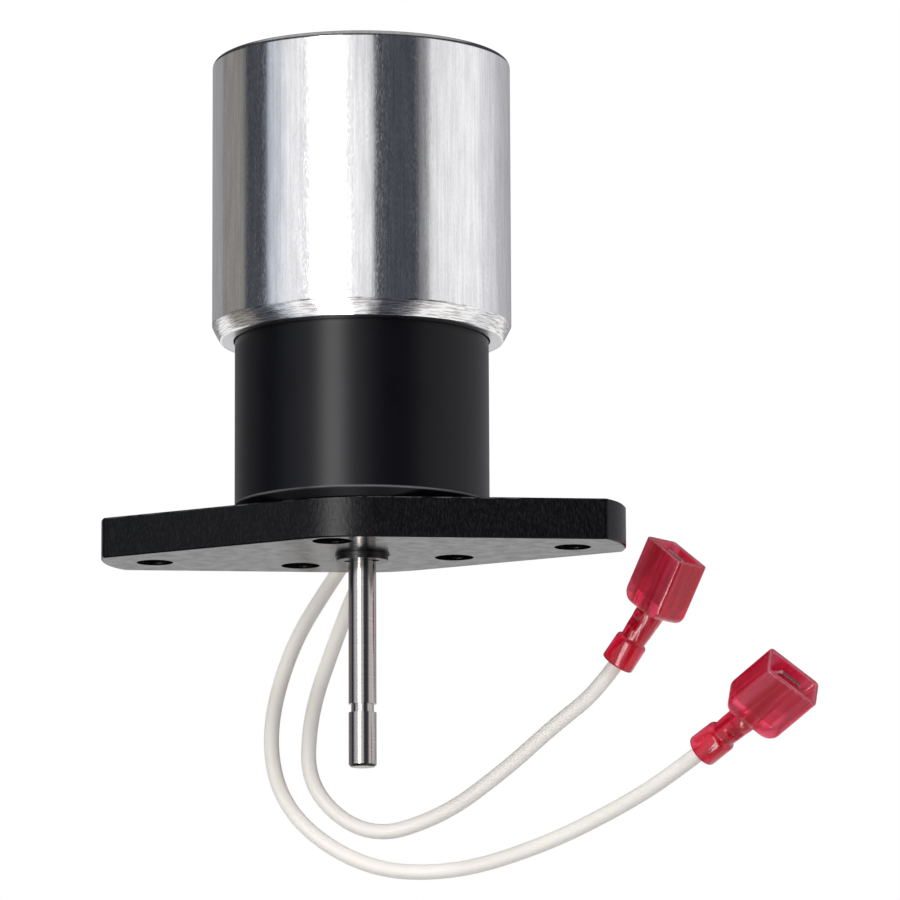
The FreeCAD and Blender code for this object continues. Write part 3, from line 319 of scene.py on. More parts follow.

# %% [markdown]
# ## Shared effects
#
# Three effects come back in several finishes, so each is one shader node group: the grain
# that drawing, turning or grinding leaves, the cloudy marks of handling, and a broken line
# along an edge at one height, which places painted highlights and painted shade. Each reads
# a place in millimetres.

# %% Shared effects
def new_group(name, output, **numbers):
    """An empty shader group: a place and named numbers in, one mask out."""
    group = bpy.data.node_groups.new(name, "ShaderNodeTree")
    new_socket = group.interface.new_socket
    new_socket("Place", in_out="INPUT", socket_type="NodeSocketVector")
    for label, value in numbers.items():
        socket = new_socket(label.replace("_", " "), in_out="INPUT", socket_type="NodeSocketFloat")
        socket.default_value = value
    new_socket(output, in_out="OUTPUT", socket_type="NodeSocketFloat")
    entry = group.nodes.new("NodeGroupInput").outputs
    end = group.nodes.new("NodeGroupOutput").inputs
    return group, entry, end


def make_grain_group():
    """Grain stretched along the shaft's axis, or round it, by its two sizes."""
    group, entry, end = new_group("tool_grain", "Grain", Across=0.3, Along=1.5)
    size = joined(group, X=entry["Across"], Y=entry["Across"], Z=entry["Along"])
    grain = noise(group, entry["Place"], size, Detail=3.0, Roughness=0.6)
    group.links.new(grain, end["Grain"])
    return group


def make_marks_group():
    """Soft clouds of handling, from 0 to 1."""
    group, entry, end = new_group("handling_marks", "Marks", Size=12.0, Cover=0.5)
    cloud = noise(group, entry["Place"], entry["Size"], Detail=4.0, Roughness=0.55,
                  Distortion=0.6)
    edge = calculate(group, "SUBTRACT", 0.8, calculate(group, "MULTIPLY", entry["Cover"], 0.5))
    mask = rises(group, cloud, calculate(group, "SUBTRACT", edge, 0.2), edge)
    group.links.new(mask, end["Marks"])
    return group


def make_painted_line_group():
    """A broken line along the edges that lie at one height, as a mask for painted highlights and painted
    shade.
    """
    group, entry, end = new_group("painted_edge_line", "Painted_Line", Height=0.0, Width=0.4, Breaks=3.0,
                                  Gaps_Below=0.45)
    off = calculate(group, "SUBTRACT", parts(group, entry["Place"])["Z"], entry["Height"])
    near = rises(group, calculate(group, "ABSOLUTE", off), entry["Width"], 0.0)
    breaks = noise(group, entry["Place"], entry["Breaks"], Detail=5.0, Roughness=0.65)
    broken = rises(group, breaks, entry["Gaps Below"], 0.65)
    group.links.new(calculate(group, "MULTIPLY", near, broken), end["Painted_Line"])
    return group


TOOL_GRAIN = make_grain_group()
HANDLING_MARKS = make_marks_group()
PAINTED_EDGE_LINE = make_painted_line_group()
print("shared effects:", [group.name for group in (TOOL_GRAIN, HANDLING_MARKS, PAINTED_EDGE_LINE)])

# %% [markdown]
# ## Finishes
#
# Every finish starts from one Principled shader. A small builder holds the material's
# tree, gives the place in millimetres, and puts the shared groups in with their own
# values, so each finish below only says what is special to it.

# %% Finish builder
class Finish:
    """One material while it is being built."""

    def __init__(self, name, attribute=None, **plain):
        self.material = bpy.data.materials.new(name)
        self.material.use_nodes = True
        self.tree = self.material.node_tree
        self.shader = self.tree.nodes["Principled BSDF"]
        for label, value in plain.items():
            self.shader.inputs[label.replace("_", " ")].default_value = value
        if attribute:
            self.place = add_node(self.tree, "ShaderNodeAttribute",
                                  {"attribute_name": attribute}).outputs["Vector"]
        else:
            place = add_node(self.tree, "ShaderNodeTexCoord").outputs["Object"]
            self.place = add_node(self.tree, "ShaderNodeVectorMath", {"operation": "SCALE"},
                                  Vector=place, Scale=1 / MM).outputs[0]

    def effect(self, group, **values):
        """The output of a shared group placed in this material."""
        made = self.tree.nodes.new("ShaderNodeGroup")
        made.node_tree = group
        self.tree.links.new(self.place, made.inputs["Place"])
        for label, value in values.items():
            made.inputs[label.replace("_", " ")].default_value = value
        return made.outputs[0]

    def between(self, factor, low, high):
        """A number that runs from low to high with the factor."""
        made = add_node(self.tree, "ShaderNodeMapRange", Value=factor, To_Min=low, To_Max=high)
        return made.outputs[0]

    def blend(self, factor, low, high):
        """A colour that runs from low to high with the factor."""
        return blended(self.tree, factor, low, high)

    def sum(self, *values):
        """Several heights or masks added up."""
        total = values[0]
        for value in values[1:]:
            total = calculate(self.tree, "ADD", total, value)
        return total

    def above(self, low_mm, high_mm):
        """A mask that is 0 below one height of the part and 1 above the other."""
        return rises(self.tree, parts(self.tree, self.place)["Z"], low_mm, high_mm)

    def scaled(self, value, amount):
        return calculate(self.tree, "MULTIPLY", value, amount)

    def link(self, label, socket):
        self.tree.links.new(socket, self.shader.inputs[label])

    def bump(self, height, depth_mm, strength=1.0):
        """Raise the surface by a height from 0 to 1 times a depth in millimetres."""
        made = add_node(self.tree, "ShaderNodeBump", Height=height, Strength=strength,
                        Distance=depth_mm * MM)
        self.link("Normal", made.outputs[0])


def grained(name, dark, light, smooth, rough, across, along, depth_mm=0.01, **plain):
    """A finish whose tone, roughness and bump all come from one grain."""
    finish = Finish(name, **plain)
    grain = finish.effect(TOOL_GRAIN, Across=across, Along=along)
    finish.link("Base Color", finish.blend(grain, dark, light))
    finish.link("Roughness", finish.between(grain, smooth, rough))
    finish.bump(grain, depth_mm, 0.5)
    return finish


print("finish builder ready")

# %% [markdown]
# ## Bright drawn can
#
# The can is pulled from steel sheet, so its grain runs up the wall: fine bright and dark
# specks, longer than wide, in a nearly mirror-like skin. The specks tilt the skin a little,
# so each mirrors its neighbour's light, which is what frays the edges of the mirrored
# panels. The rolled foot has the roller's marks round it and a dark line of painted shade
# in its crease. Its lip is duller and is painted a darker grey as painted shade, and the
# flat roof is duller than the wall too.

# %% Bright drawn can
CREASE_HEIGHT = 41.6
LIP_HEIGHT = 38.8
ROOF_HEIGHT = 90.2

steel = Finish("bright_drawn_steel", Metallic=1.0)
can_grain = steel.effect(TOOL_GRAIN, Across=0.15, Along=0.75)
can_cloud = steel.effect(TOOL_GRAIN, Across=1.6, Along=9.0)
can_streaks = steel.effect(TOOL_GRAIN, Across=0.45, Along=30.0)
can_rolled = steel.effect(TOOL_GRAIN, Across=3.6, Along=0.20)
can_wall = steel.above(CREASE_HEIGHT - 0.1, CREASE_HEIGHT + 0.1)
# Painted shade: below the lip height the can is painted a darker grey, and it is duller there too.
dull_shaded_lip = steel.above(LIP_HEIGHT + 0.01, LIP_HEIGHT + 0.14)
# Painted shade: a dark broken line drawn in the crease of the rolled foot.
painted_crease_shade = steel.effect(PAINTED_EDGE_LINE, Height=CREASE_HEIGHT + 0.05, Width=0.30, Breaks=9.0)
can_specks = rises(steel.tree, can_grain, 0.46, 0.66)
can_shade = steel.sum(steel.scaled(can_streaks, 0.3), steel.scaled(can_cloud, 0.3),
                      steel.scaled(can_grain, 0.4))
can_tone = steel.blend(rises(steel.tree, can_shade, 0.38, 0.62),
                       (0.74, 0.74, 0.755), (1.0, 1.0, 1.0))
can_tone = steel.blend(can_wall, steel.blend(
    rises(steel.tree, can_rolled, 0.35, 0.60), (0.50, 0.48, 0.47), (1.0, 0.99, 0.98)), can_tone)
# The lip's painted shade goes into the tone here.
can_tone = steel.blend(dull_shaded_lip, (0.62, 0.62, 0.64), can_tone)
# The crease's painted shade goes over the tone here.
steel.link("Base Color", steel.blend(painted_crease_shade, can_tone, (0.05, 0.045, 0.04)))
can_skin = steel.sum(steel.between(can_cloud, 0.09, 0.14),
                     steel.scaled(can_specks, 0.12))
can_roof = steel.above(ROOF_HEIGHT - 0.08, ROOF_HEIGHT - 0.02)
can_skin = steel.between(can_roof, can_skin, steel.between(can_cloud, 0.42, 0.54))
steel.link("Roughness", steel.between(dull_shaded_lip, 0.34, steel.between(
    can_wall, steel.between(can_rolled, 0.05, 0.20), can_skin)))
can_marks = steel.sum(steel.scaled(can_specks, 0.05), steel.scaled(can_streaks, 0.04))
steel.bump(steel.between(can_wall, steel.scaled(can_rolled, 2.6), can_marks), 0.014)

# %% [markdown]
# ## Shape of the can
#
# A drawn can is a turned shape, so one section drawn on paper gives all of it: wall, flat
# roof with a rounded rim, and the foot that was rolled in under the housing. Geometry
# Nodes do the turning. A grid is bent so that each of its rows is one point of the
# section, and the rolling tool's fine ripples are pushed into the foot alone.

# %% Section tools
ARC_STEP = math.radians(12)


def round_corner(before, corner, after, radius):
    """The points of an arc that replaces a corner of a section."""
    corner = Vector(corner)
    into = (Vector(before) - corner).normalized()
    out = (Vector(after) - corner).normalized()
    half = into.angle(out) / 2
    centre = corner + (into + out).normalized() * (radius / math.sin(half))
    start = corner + into * (radius / math.tan(half)) - centre
    sweep = math.pi - 2 * half
    if into.x * out.y - into.y * out.x > 0:
        sweep = -sweep
    steps = max(2, math.ceil(abs(sweep) / ARC_STEP))
    arc = []
    for step in range(steps + 1):
        angle = sweep * step / steps
        turned = Matrix.Rotation(angle, 2) @ start
        arc.append(centre + turned)
    return arc


def make_section(corners, support=0.06):
    """Points (radius, height) in millimetres of a section given as (radius, height, rounding).

    Long straight runs get a point close to each end, so that smooth shading stays flat."""
    places = [Vector(corner[:2]) for corner in corners]
    runs = []
    for index, corner in enumerate(corners):
        if corner[2] > 0:
            runs.append(round_corner(places[index - 1], places[index], places[index + 1], corner[2]))
        else:
            runs.append([places[index]])
    points = list(runs[0])
    for run in runs[1:]:
        step = run[0] - points[-1]
        if step.length > 4 * support:
            points += [points[-1] + step.normalized() * support,
                       run[0] - step.normalized() * support]
        points += run
    return points


def section_object(name, points):
    """A section as a bare line of vertices, radius along X and height along Z."""
    mesh = bpy.data.meshes.new(name)
    mesh.from_pydata([(x * MM, 0, z * MM) for x, z in points],
                     [(index, index + 1) for index in range(len(points) - 1)], [])
    return new_object(name, mesh)


# %% Turning with Geometry Nodes
RIPPLE_FADE = 0.4
WELD = 0.001


def new_tree(name, **sizes):
    """An empty Geometry Nodes tree: a mesh, named sizes and a finish in, a mesh out."""
    tree = bpy.data.node_groups.new(name, "GeometryNodeTree")
    new_socket = tree.interface.new_socket
    new_socket("Geometry", in_out="INPUT", socket_type="NodeSocketGeometry")
    for label, value in sizes.items():
        kind = "NodeSocketInt" if isinstance(value, int) else "NodeSocketFloat"
        socket = new_socket(label.replace("_", " "), in_out="INPUT", socket_type=kind)
        socket.default_value = value
    new_socket("Finish", in_out="INPUT", socket_type="NodeSocketMaterial")
    new_socket("Geometry", in_out="OUTPUT", socket_type="NodeSocketGeometry")
    entry = tree.nodes.new("NodeGroupInput").outputs
    end = tree.nodes.new("NodeGroupOutput").inputs
    return tree, entry, end


def finish_tree(tree, shape, entry, end):
    """Every tree ends in real geometry that wears its finish."""
    real = add_node(tree, "GeometryNodeRealizeInstances", Geometry=shape)
    dressed = add_node(tree, "GeometryNodeSetMaterial", Geometry=real.outputs[0],
                       Material=entry["Finish"])
    tree.links.new(dressed.outputs[0], end["Geometry"])


def make_turning_tree():
    """Turn a section about the upright axis, with tool ripples below one height."""
    tree, entry, end = new_tree("turned_section", Segments=192, Ripple_Depth=0.0,
                                Ripple_Size=0.001, Ripples_Below=0.0, Ripple_Seed=4.0)
    count = add_node(tree, "GeometryNodeAttributeDomainSize", Geometry=entry["Geometry"])
    rows = count.outputs["Point Count"]
    columns = calculate(tree, "ADD", entry["Segments"], 1.0)
    grid = add_node(tree, "GeometryNodeMeshGrid", Size_X=1.0, Size_Y=1.0,
                    Vertices_X=columns, Vertices_Y=rows)
    place = add_node(tree, "GeometryNodeInputPosition").outputs[0]
    flat = parts(tree, place)
    share = calculate(tree, "ADD", flat["X"], 0.5)
    angle = calculate(tree, "MULTIPLY", share, 2 * math.pi)
    last_row = calculate(tree, "SUBTRACT", rows, 1.0)
    row = calculate(tree, "MULTIPLY", calculate(tree, "ADD", flat["Y"], 0.5), last_row)
    point = add_node(tree, "GeometryNodeSampleIndex", {"data_type": "FLOAT_VECTOR"},
                     Geometry=entry["Geometry"], Value=place,
                     Index=calculate(tree, "ROUND", row))
    section = parts(tree, point.outputs[0])
    turned_place = joined(
        tree, X=calculate(tree, "MULTIPLY", section["X"], calculate(tree, "COSINE", angle)),
        Y=calculate(tree, "MULTIPLY", section["X"], calculate(tree, "SINE", angle)), Z=section["Z"])
    turned = add_node(tree, "GeometryNodeSetPosition", Geometry=grid.outputs[0],
                      Position=turned_place)
    closed = add_node(tree, "GeometryNodeMergeByDistance", Geometry=turned.outputs[0],
                      Distance=WELD * MM)
    clouds = noise(tree, place, entry["Ripple Size"], {"noise_dimensions": "4D"},
                   W=entry["Ripple Seed"], Detail=2.0)
    ripple = calculate(tree, "SUBTRACT", clouds, 0.5)
    below = rises(tree, parts(tree, place)["Z"], entry["Ripples Below"],
                  calculate(tree, "SUBTRACT", entry["Ripples Below"], RIPPLE_FADE * MM))
    push = calculate(tree, "MULTIPLY", calculate(tree, "MULTIPLY", ripple, below),
                     entry["Ripple Depth"])
    outward = add_node(tree, "GeometryNodeInputNormal").outputs[0]
    offset = add_node(tree, "ShaderNodeVectorMath", {"operation": "SCALE"}, Vector=outward,
                      Scale=push)
    rippled = add_node(tree, "GeometryNodeSetPosition", Geometry=closed.outputs[0],
                       Offset=offset.outputs[0])
    finish_tree(tree, rippled.outputs[0], entry, end)
    return tree


def shaped(name, base, tree, **sizes):
    """Run a tree on an object and keep the result as a plain mesh piece."""
    worker = base.modifiers.new("shape", "NODES")
    worker.node_group = tree
    sockets = {item.name: item.identifier for item in tree.interface.items_tree
               if item.in_out == "INPUT"}
    for label, value in sizes.items():
        worker[sockets[label.replace("_", " ")]] = value
    bpy.context.view_layer.update()
    seen_base = base.evaluated_get(bpy.context.evaluated_depsgraph_get())
    mesh = bpy.data.meshes.new_from_object(seen_base)
    mesh.name = name
    base.modifiers.clear()
    bpy.data.objects.remove(base)
    build = bmesh.new()
    build.from_mesh(mesh)
    bmesh.ops.recalc_face_normals(build, faces=build.faces)
    build.to_mesh(mesh)
    build.free()
    mesh.shade_smooth()
    return new_object(name, mesh)


TURNING = make_turning_tree()
print("turning tree:", len(TURNING.nodes), "nodes")

# %% Rolled can
CAN_WALL = 2.0
CAN_RIM_ROUNDING = 1.0
ROLLED_DROP = 2.8
ROLLED_INSET = 1.6
ROLLED_PULL = (1.4, 0.62)
LIP_EDGE = (0.15, 0.4)
LIP_THICKNESS = 1.5
LIP_LAND = 0.3
SEAT_SLOPE = 1.6
CURVE_STEPS = 9

can_box_low, can_box_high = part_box("solenoid_can")
can_radius = can_box_high.x / MM
can_top = can_box_high.z / MM
can_foot = can_box_low.z / MM
lip_inner = can_radius - CAN_WALL - SEAT_SLOPE - LIP_LAND
can_corners = [(0, can_top, 0), (can_radius, can_top, CAN_RIM_ROUNDING),
               (can_radius, CREASE_HEIGHT, 0)]
for step in range(1, CURVE_STEPS + 1):
    share = step / CURVE_STEPS
    pull = 2 * share * (1 - share)
    inset = pull * ROLLED_PULL[1] + share ** 2 * (ROLLED_INSET - LIP_EDGE[0])
    drop = pull * ROLLED_PULL[0] + share ** 2 * (ROLLED_DROP - LIP_EDGE[0])
    can_corners.append((can_radius - inset, CREASE_HEIGHT - drop, 0))
roof = can_top - CAN_WALL
lip_top = can_foot + LIP_THICKNESS
bore = can_radius - CAN_WALL
can_corners += [
    (can_radius - ROLLED_INSET - LIP_EDGE[1], can_foot, 0.05),
    (lip_inner, can_foot, 0.12), (lip_inner, lip_top, 0.1), (bore - SEAT_SLOPE, lip_top, 0),
    (bore, lip_top + SEAT_SLOPE, 0.2), (bore, roof, 0.5), (0, roof, 0),
]
can_shell = shaped("rolled_can", section_object("can_section", make_section(can_corners)),
                   TURNING, Segments=256, Ripple_Depth=0.11 * MM, Ripple_Size=2.0 * MM,
                   Ripples_Below=CREASE_HEIGHT * MM, Finish=steel.material)
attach(can_shell, "actuator")
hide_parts("solenoid_can")
print("rolled can:", len(can_shell.data.polygons), "faces")

# %% [markdown]
# ## Black housing and plate
#
# The housing is turned aluminium with a deep black anodised skin, and its faint grooves
# run round it; a thin light line on the edge of its foot is a painted highlight. The plate
# is blackened steel: its sides are rougher, with a vertical grain, and its ground underside
# is smooth enough to mirror the tent at a grazing angle. A thin light line along its top
# edge is a painted highlight too.

# %% Black housing and plate
FOOT_EDGE_HEIGHT = 8.80

anodised = Finish("black_anodised_turned", Specular_IOR_Level=0.24)
turned_lines = anodised.effect(TOOL_GRAIN, Across=30.0, Along=0.16)
housing_marks = anodised.effect(HANDLING_MARKS, Size=14.0, Cover=0.6)
# Painted highlight: a thin light line along the edge of the foot's chamfer.
painted_foot_highlight = anodised.effect(PAINTED_EDGE_LINE, Height=FOOT_EDGE_HEIGHT, Width=0.28, Breaks=26.0,
                               Gaps_Below=0.20)
housing_tone = anodised.blend(
    housing_marks, (0.0012, 0.0012, 0.0028), (0.0024, 0.0024, 0.0042))
# The foot's painted highlight line is mixed over the tone here.
anodised.link("Base Color", anodised.blend(painted_foot_highlight, housing_tone, (0.14, 0.14, 0.15)))
anodised.link("Roughness", anodised.between(turned_lines, 0.28, 0.38))
anodised.bump(turned_lines, 0.006, 0.6)

PLATE_EDGE_HEIGHT = 7.12
PLATE_SIDES_FROM = (0.3, 0.5)

oxide = Finish("black_oxide_plate", Specular_IOR_Level=0.17)
plate_grain = oxide.effect(TOOL_GRAIN, Across=0.35, Along=0.9)
plate_ground = oxide.effect(TOOL_GRAIN, Across=0.5, Along=0.5)
plate_marks = oxide.effect(TOOL_GRAIN, Across=3.0, Along=3.0)
plate_sides = oxide.above(*PLATE_SIDES_FROM)
# Painted highlight: a thin light line along the plate's top edge.
painted_plate_edge_highlight = oxide.effect(PAINTED_EDGE_LINE, Height=PLATE_EDGE_HEIGHT, Width=0.16, Breaks=4.0)
plate_tone = oxide.blend(
    rises(oxide.tree, plate_grain, 0.42, 0.72), (0.0006, 0.0006, 0.0014), (0.0075, 0.0075, 0.0085))
# The plate edge's painted highlight is mixed over the tone here.
oxide.link("Base Color", oxide.blend(painted_plate_edge_highlight, plate_tone, (0.10, 0.10, 0.10)))
plate_under = oxide.between(plate_marks, 0.02, 0.30)
oxide.link("Roughness", oxide.sum(
    oxide.between(plate_sides, plate_under, 0.20), oxide.scaled(plate_grain, 0.12)))
oxide.bump(oxide.sum(oxide.scaled(plate_grain, plate_sides),
                     oxide.scaled(plate_ground, 0.45)), 0.05, 0.8)

# %% [markdown]
# ## Ground shaft and small steel parts
#
# The shaft is ground between centres, so its very fine grooves run round it and it
# mirrors in upright bands. The end face of its tip is painted near black as painted shade.
# The ring and washer under the plate are blackened spring steel with rubbed edges.

# %% Ground shaft and small steel parts
TIP_FACE_ENDS = (-37.88, -37.78)

ground = Finish("ground_shaft_steel", Metallic=1.0)
shaft_grain = ground.effect(TOOL_GRAIN, Across=8.0, Along=0.10)
# Painted shade: the tip's end face below this height is painted near black.
painted_tip_shade = ground.above(*TIP_FACE_ENDS)
shaft_skin = ground.blend(shaft_grain, (0.32, 0.295, 0.28), (0.58, 0.55, 0.53))
# The tip's painted shade goes in here.
ground.link("Base Color", ground.blend(painted_tip_shade, (0.05, 0.045, 0.04), shaft_skin))
ground.link("Roughness", ground.between(shaft_grain, 0.10, 0.18))
ground.bump(shaft_grain, 0.002, 0.5)

blackened = grained("blackened_spring_steel", (0.02, 0.02, 0.02), (0.09, 0.09, 0.09),
                    0.25, 0.45, 0.5, 0.5, Metallic=0.9)

# %% [markdown]
# ## Insulation, rubber and nylon
#
# The leads' insulation is a satin ivory plastic, a little soft in the light. The grommet
# is matt black rubber. The terminals are clear crimson nylon: light goes into it, picks
# up the red and comes back from the blade and the far walls. The rim of each box and a
# broad band by each of its corners are painted light pink as painted highlights. Its flow
# lines run along the box, so this finish reads a place that each shell carries as an
# attribute of its own.

# %% Insulation, rubber and nylon
# Painted highlight: from this reach the mouth's rim is painted light pink.
RIM_HIGHLIGHT_FROM = (11.4, 12.0)
# Painted highlight: a broad light pink band near each corner of the box, between these reaches.
CORNER_HIGHLIGHT_FROM = (2.4, 3.6)
CORNER_HIGHLIGHT_TO = (5.6, 5.0)

ivory = Finish("ivory_insulation")
lead_grain = ivory.effect(TOOL_GRAIN, Across=0.8, Along=0.8)
lead_clouds = ivory.effect(HANDLING_MARKS, Size=16.0, Cover=0.3)
ivory.link("Base Color", ivory.blend(lead_clouds, (0.84, 0.805, 0.755), (0.82, 0.782, 0.728)))
ivory.link("Roughness", ivory.between(lead_grain, 0.42, 0.50))
ivory.bump(lead_grain, 0.0008, 0.2)

rubber = Finish("black_rubber", Base_Color=(0.012, 0.012, 0.012, 1))
rubber_grain = rubber.effect(TOOL_GRAIN, Across=0.3, Along=0.3)
rubber.link("Roughness", rubber.between(rubber_grain, 0.55, 0.8))
rubber.bump(rubber_grain, 0.02, 0.6)

nylon = Finish("crimson_nylon", attribute="box_place", IOR=1.53,
               Specular_IOR_Level=0.30, Transmission_Weight=0.76)
nylon_waves = nylon.effect(TOOL_GRAIN, Across=1.6, Along=1.6)
nylon_streaks = rises(nylon.tree, nylon.effect(TOOL_GRAIN, Across=1.5, Along=40.0), 0.42, 0.62)
# Painted highlight along the rim of the mouth.
nylon_rim_highlight = nylon.above(*RIM_HIGHLIGHT_FROM)
# Painted highlight: the band by each corner, from the reach across the box.
nylon_reach = calculate(nylon.tree, "ABSOLUTE", parts(nylon.tree, nylon.place)["X"])
nylon_corner_highlight = calculate(nylon.tree, "MULTIPLY", rises(nylon.tree, nylon_reach, *CORNER_HIGHLIGHT_FROM),
                         rises(nylon.tree, nylon_reach, *CORNER_HIGHLIGHT_TO))
nylon_body = nylon.blend(nylon_streaks, (0.80, 0.006, 0.050), (0.96, 0.05, 0.13))
nylon_body = nylon.blend(nylon.scaled(nylon_corner_highlight, 0.6), nylon_body, (1.0, 0.17, 0.28))
nylon.link("Base Color", nylon.blend(nylon_rim_highlight, nylon_body, (1.0, 0.36, 0.46)))
nylon.link("Roughness", nylon.between(nylon_waves, 0.07, 0.18))
nylon.bump(nylon.sum(nylon.scaled(nylon_waves, 0.5), nylon_streaks), 0.06, 0.6)

tinned = grained("tinned_blade", (0.66, 0.64, 0.60), (0.84, 0.83, 0.80),
                 0.20, 0.38, 0.4, 0.4, Metallic=1.0)

# %% [markdown]
# ## Red terminals
#
# Each lead ends in a push-on tab in a shell of clear nylon: a flat box round the blade, a
# crimped barrel, and a funnel that takes the insulation. The shell is one moulding, so it
# is one skin over a stack of loops. The stack runs down the outside from the mouth of the
# box, over its round shoulder and along the barrel, then back up inside. All loops have
# the same number of points, from a rectangle with round corners to a circle.

# %% Loops and skins
CORNER_POINTS = 14


def round_loop(half_width, half_thickness, rounding):
    """The points of a rectangle with round corners, which may be a whole circle."""
    points = []
    for quarter, (side_x, side_y) in enumerate(((1, 1), (-1, 1), (-1, -1), (1, -1))):
        for step in range(CORNER_POINTS):
            angle = (quarter + (step + 0.5) / CORNER_POINTS) * math.pi / 2
            points.append((side_x * (half_width - rounding) + rounding * math.cos(angle),
                           side_y * (half_thickness - rounding) + rounding * math.sin(angle)))
    return points


def add_skin(build, loops, closed):
    """Faces from each loop of places to the next, and from the last to the first if closed."""
    rows = [[build.verts.new(place * MM) for place in loop] for loop in loops]
    pairs = list(zip(rows, rows[1:]))
    if closed:
        pairs.append((rows[-1], rows[0]))
    for row, following in pairs:
        for index, corner in enumerate(row):
            build.faces.new((row[index - 1], corner, following[index], following[index - 1]))


def finish_mesh(name, build):
    """Close the seams, turn the faces outwards and keep the mesh as a piece."""
    bmesh.ops.remove_doubles(build, verts=build.verts, dist=0.002 * MM)
    bmesh.ops.recalc_face_normals(build, faces=build.faces)
    mesh = bpy.data.meshes.new(name)
    build.to_mesh(mesh)
    build.free()
    return new_object(name, mesh)


# %% Terminal shells
BOX_WIDTH = 11.4
BOX_THICKNESS = 6.7
BOX_LENGTH = 12.2
BOX_WALL = 0.8
BOX_ROUNDING = 0.8
BOX_INNER_ROUNDING = 0.4
BOX_FLOOR = 2.8
BOX_SINK = 0.3
BOX_WAYS = {1: (0.749, -0.455, 0.482), 2: (0.449, -0.297, 0.843)}
WIDE_WAYS = {1: (0.662, 0.530, -0.530), 2: (0.614, -0.582, -0.532)}
SHOULDER_HEIGHT = 2.2
SHOULDER_INSETS = (2.2, 0.5)
SHOULDER_STEPS = 6
RIM_ROUNDING = 0.25
RIM_BULGE = 0.3
NECK_HALF_SIZES = (2.7, 2.5)
NECK_ROUNDING = 2.4
FLOOR_ROUNDING = 0.3
FERRULE_REACH = 7.3
BORE_RADIUS = 1.84
BARREL_OUTSIDE = [
    (0.8, 2.66, 0), (2.3, 2.62, 0), (2.4, 2.60, 0), (2.7, 2.56, 0.5), (2.8, 2.55, 0.5),
    (4.3, 2.52, 0.5), (4.4, 2.52, 0.5), (4.7, 2.50, 0), (4.8, 2.50, 0), (6.2, 2.40, 0),
    (6.4, 2.40, 0), (6.5, 2.45, 0), (6.75, 2.85, 0), (6.95, 2.98, 0), (7.2, 3.02, 0),
    (11.5, 3.08, 0), (11.8, 3.02, 0), (11.9, 2.85, 0),
]
BARREL_INSIDE = [(11.8, 2.6), (11.4, 2.45), (7.5, 1.9), (7.1, BORE_RADIUS), (0.0, BORE_RADIUS)]


def terminal_frame(number):
    """The knee between box and barrel, and the ways that the two run."""
    before, seat = (Vector(place) for place in LEAD_RUNS[number][-2:])
    along = (seat - before).normalized()
    box_way = Vector(BOX_WAYS[number]).normalized()
    wide = Vector(WIDE_WAYS[number])
    wide = (wide - box_way * wide.dot(box_way)).normalized()
    barrel_wide = (wide - along * wide.dot(along)).normalized()
    knee = seat + along * FERRULE_REACH
    return knee, (box_way, wide, box_way.cross(wide)), (along, barrel_wide, along.cross(barrel_wide))


def placed(loop, centre, ways, reach):
    """A flat loop set across its way at a distance from a centre."""
    way, wide, thin = ways
    return [centre + way * reach + wide * x + thin * y for x, y in loop]


def crimped(radius, press):
    """A barrel loop, pressed flat on both faces where the crimping tool closed."""
    limit = radius - press
    return [(x, min(max(y, -limit), limit)) for x, y in round_loop(radius, radius, radius)]


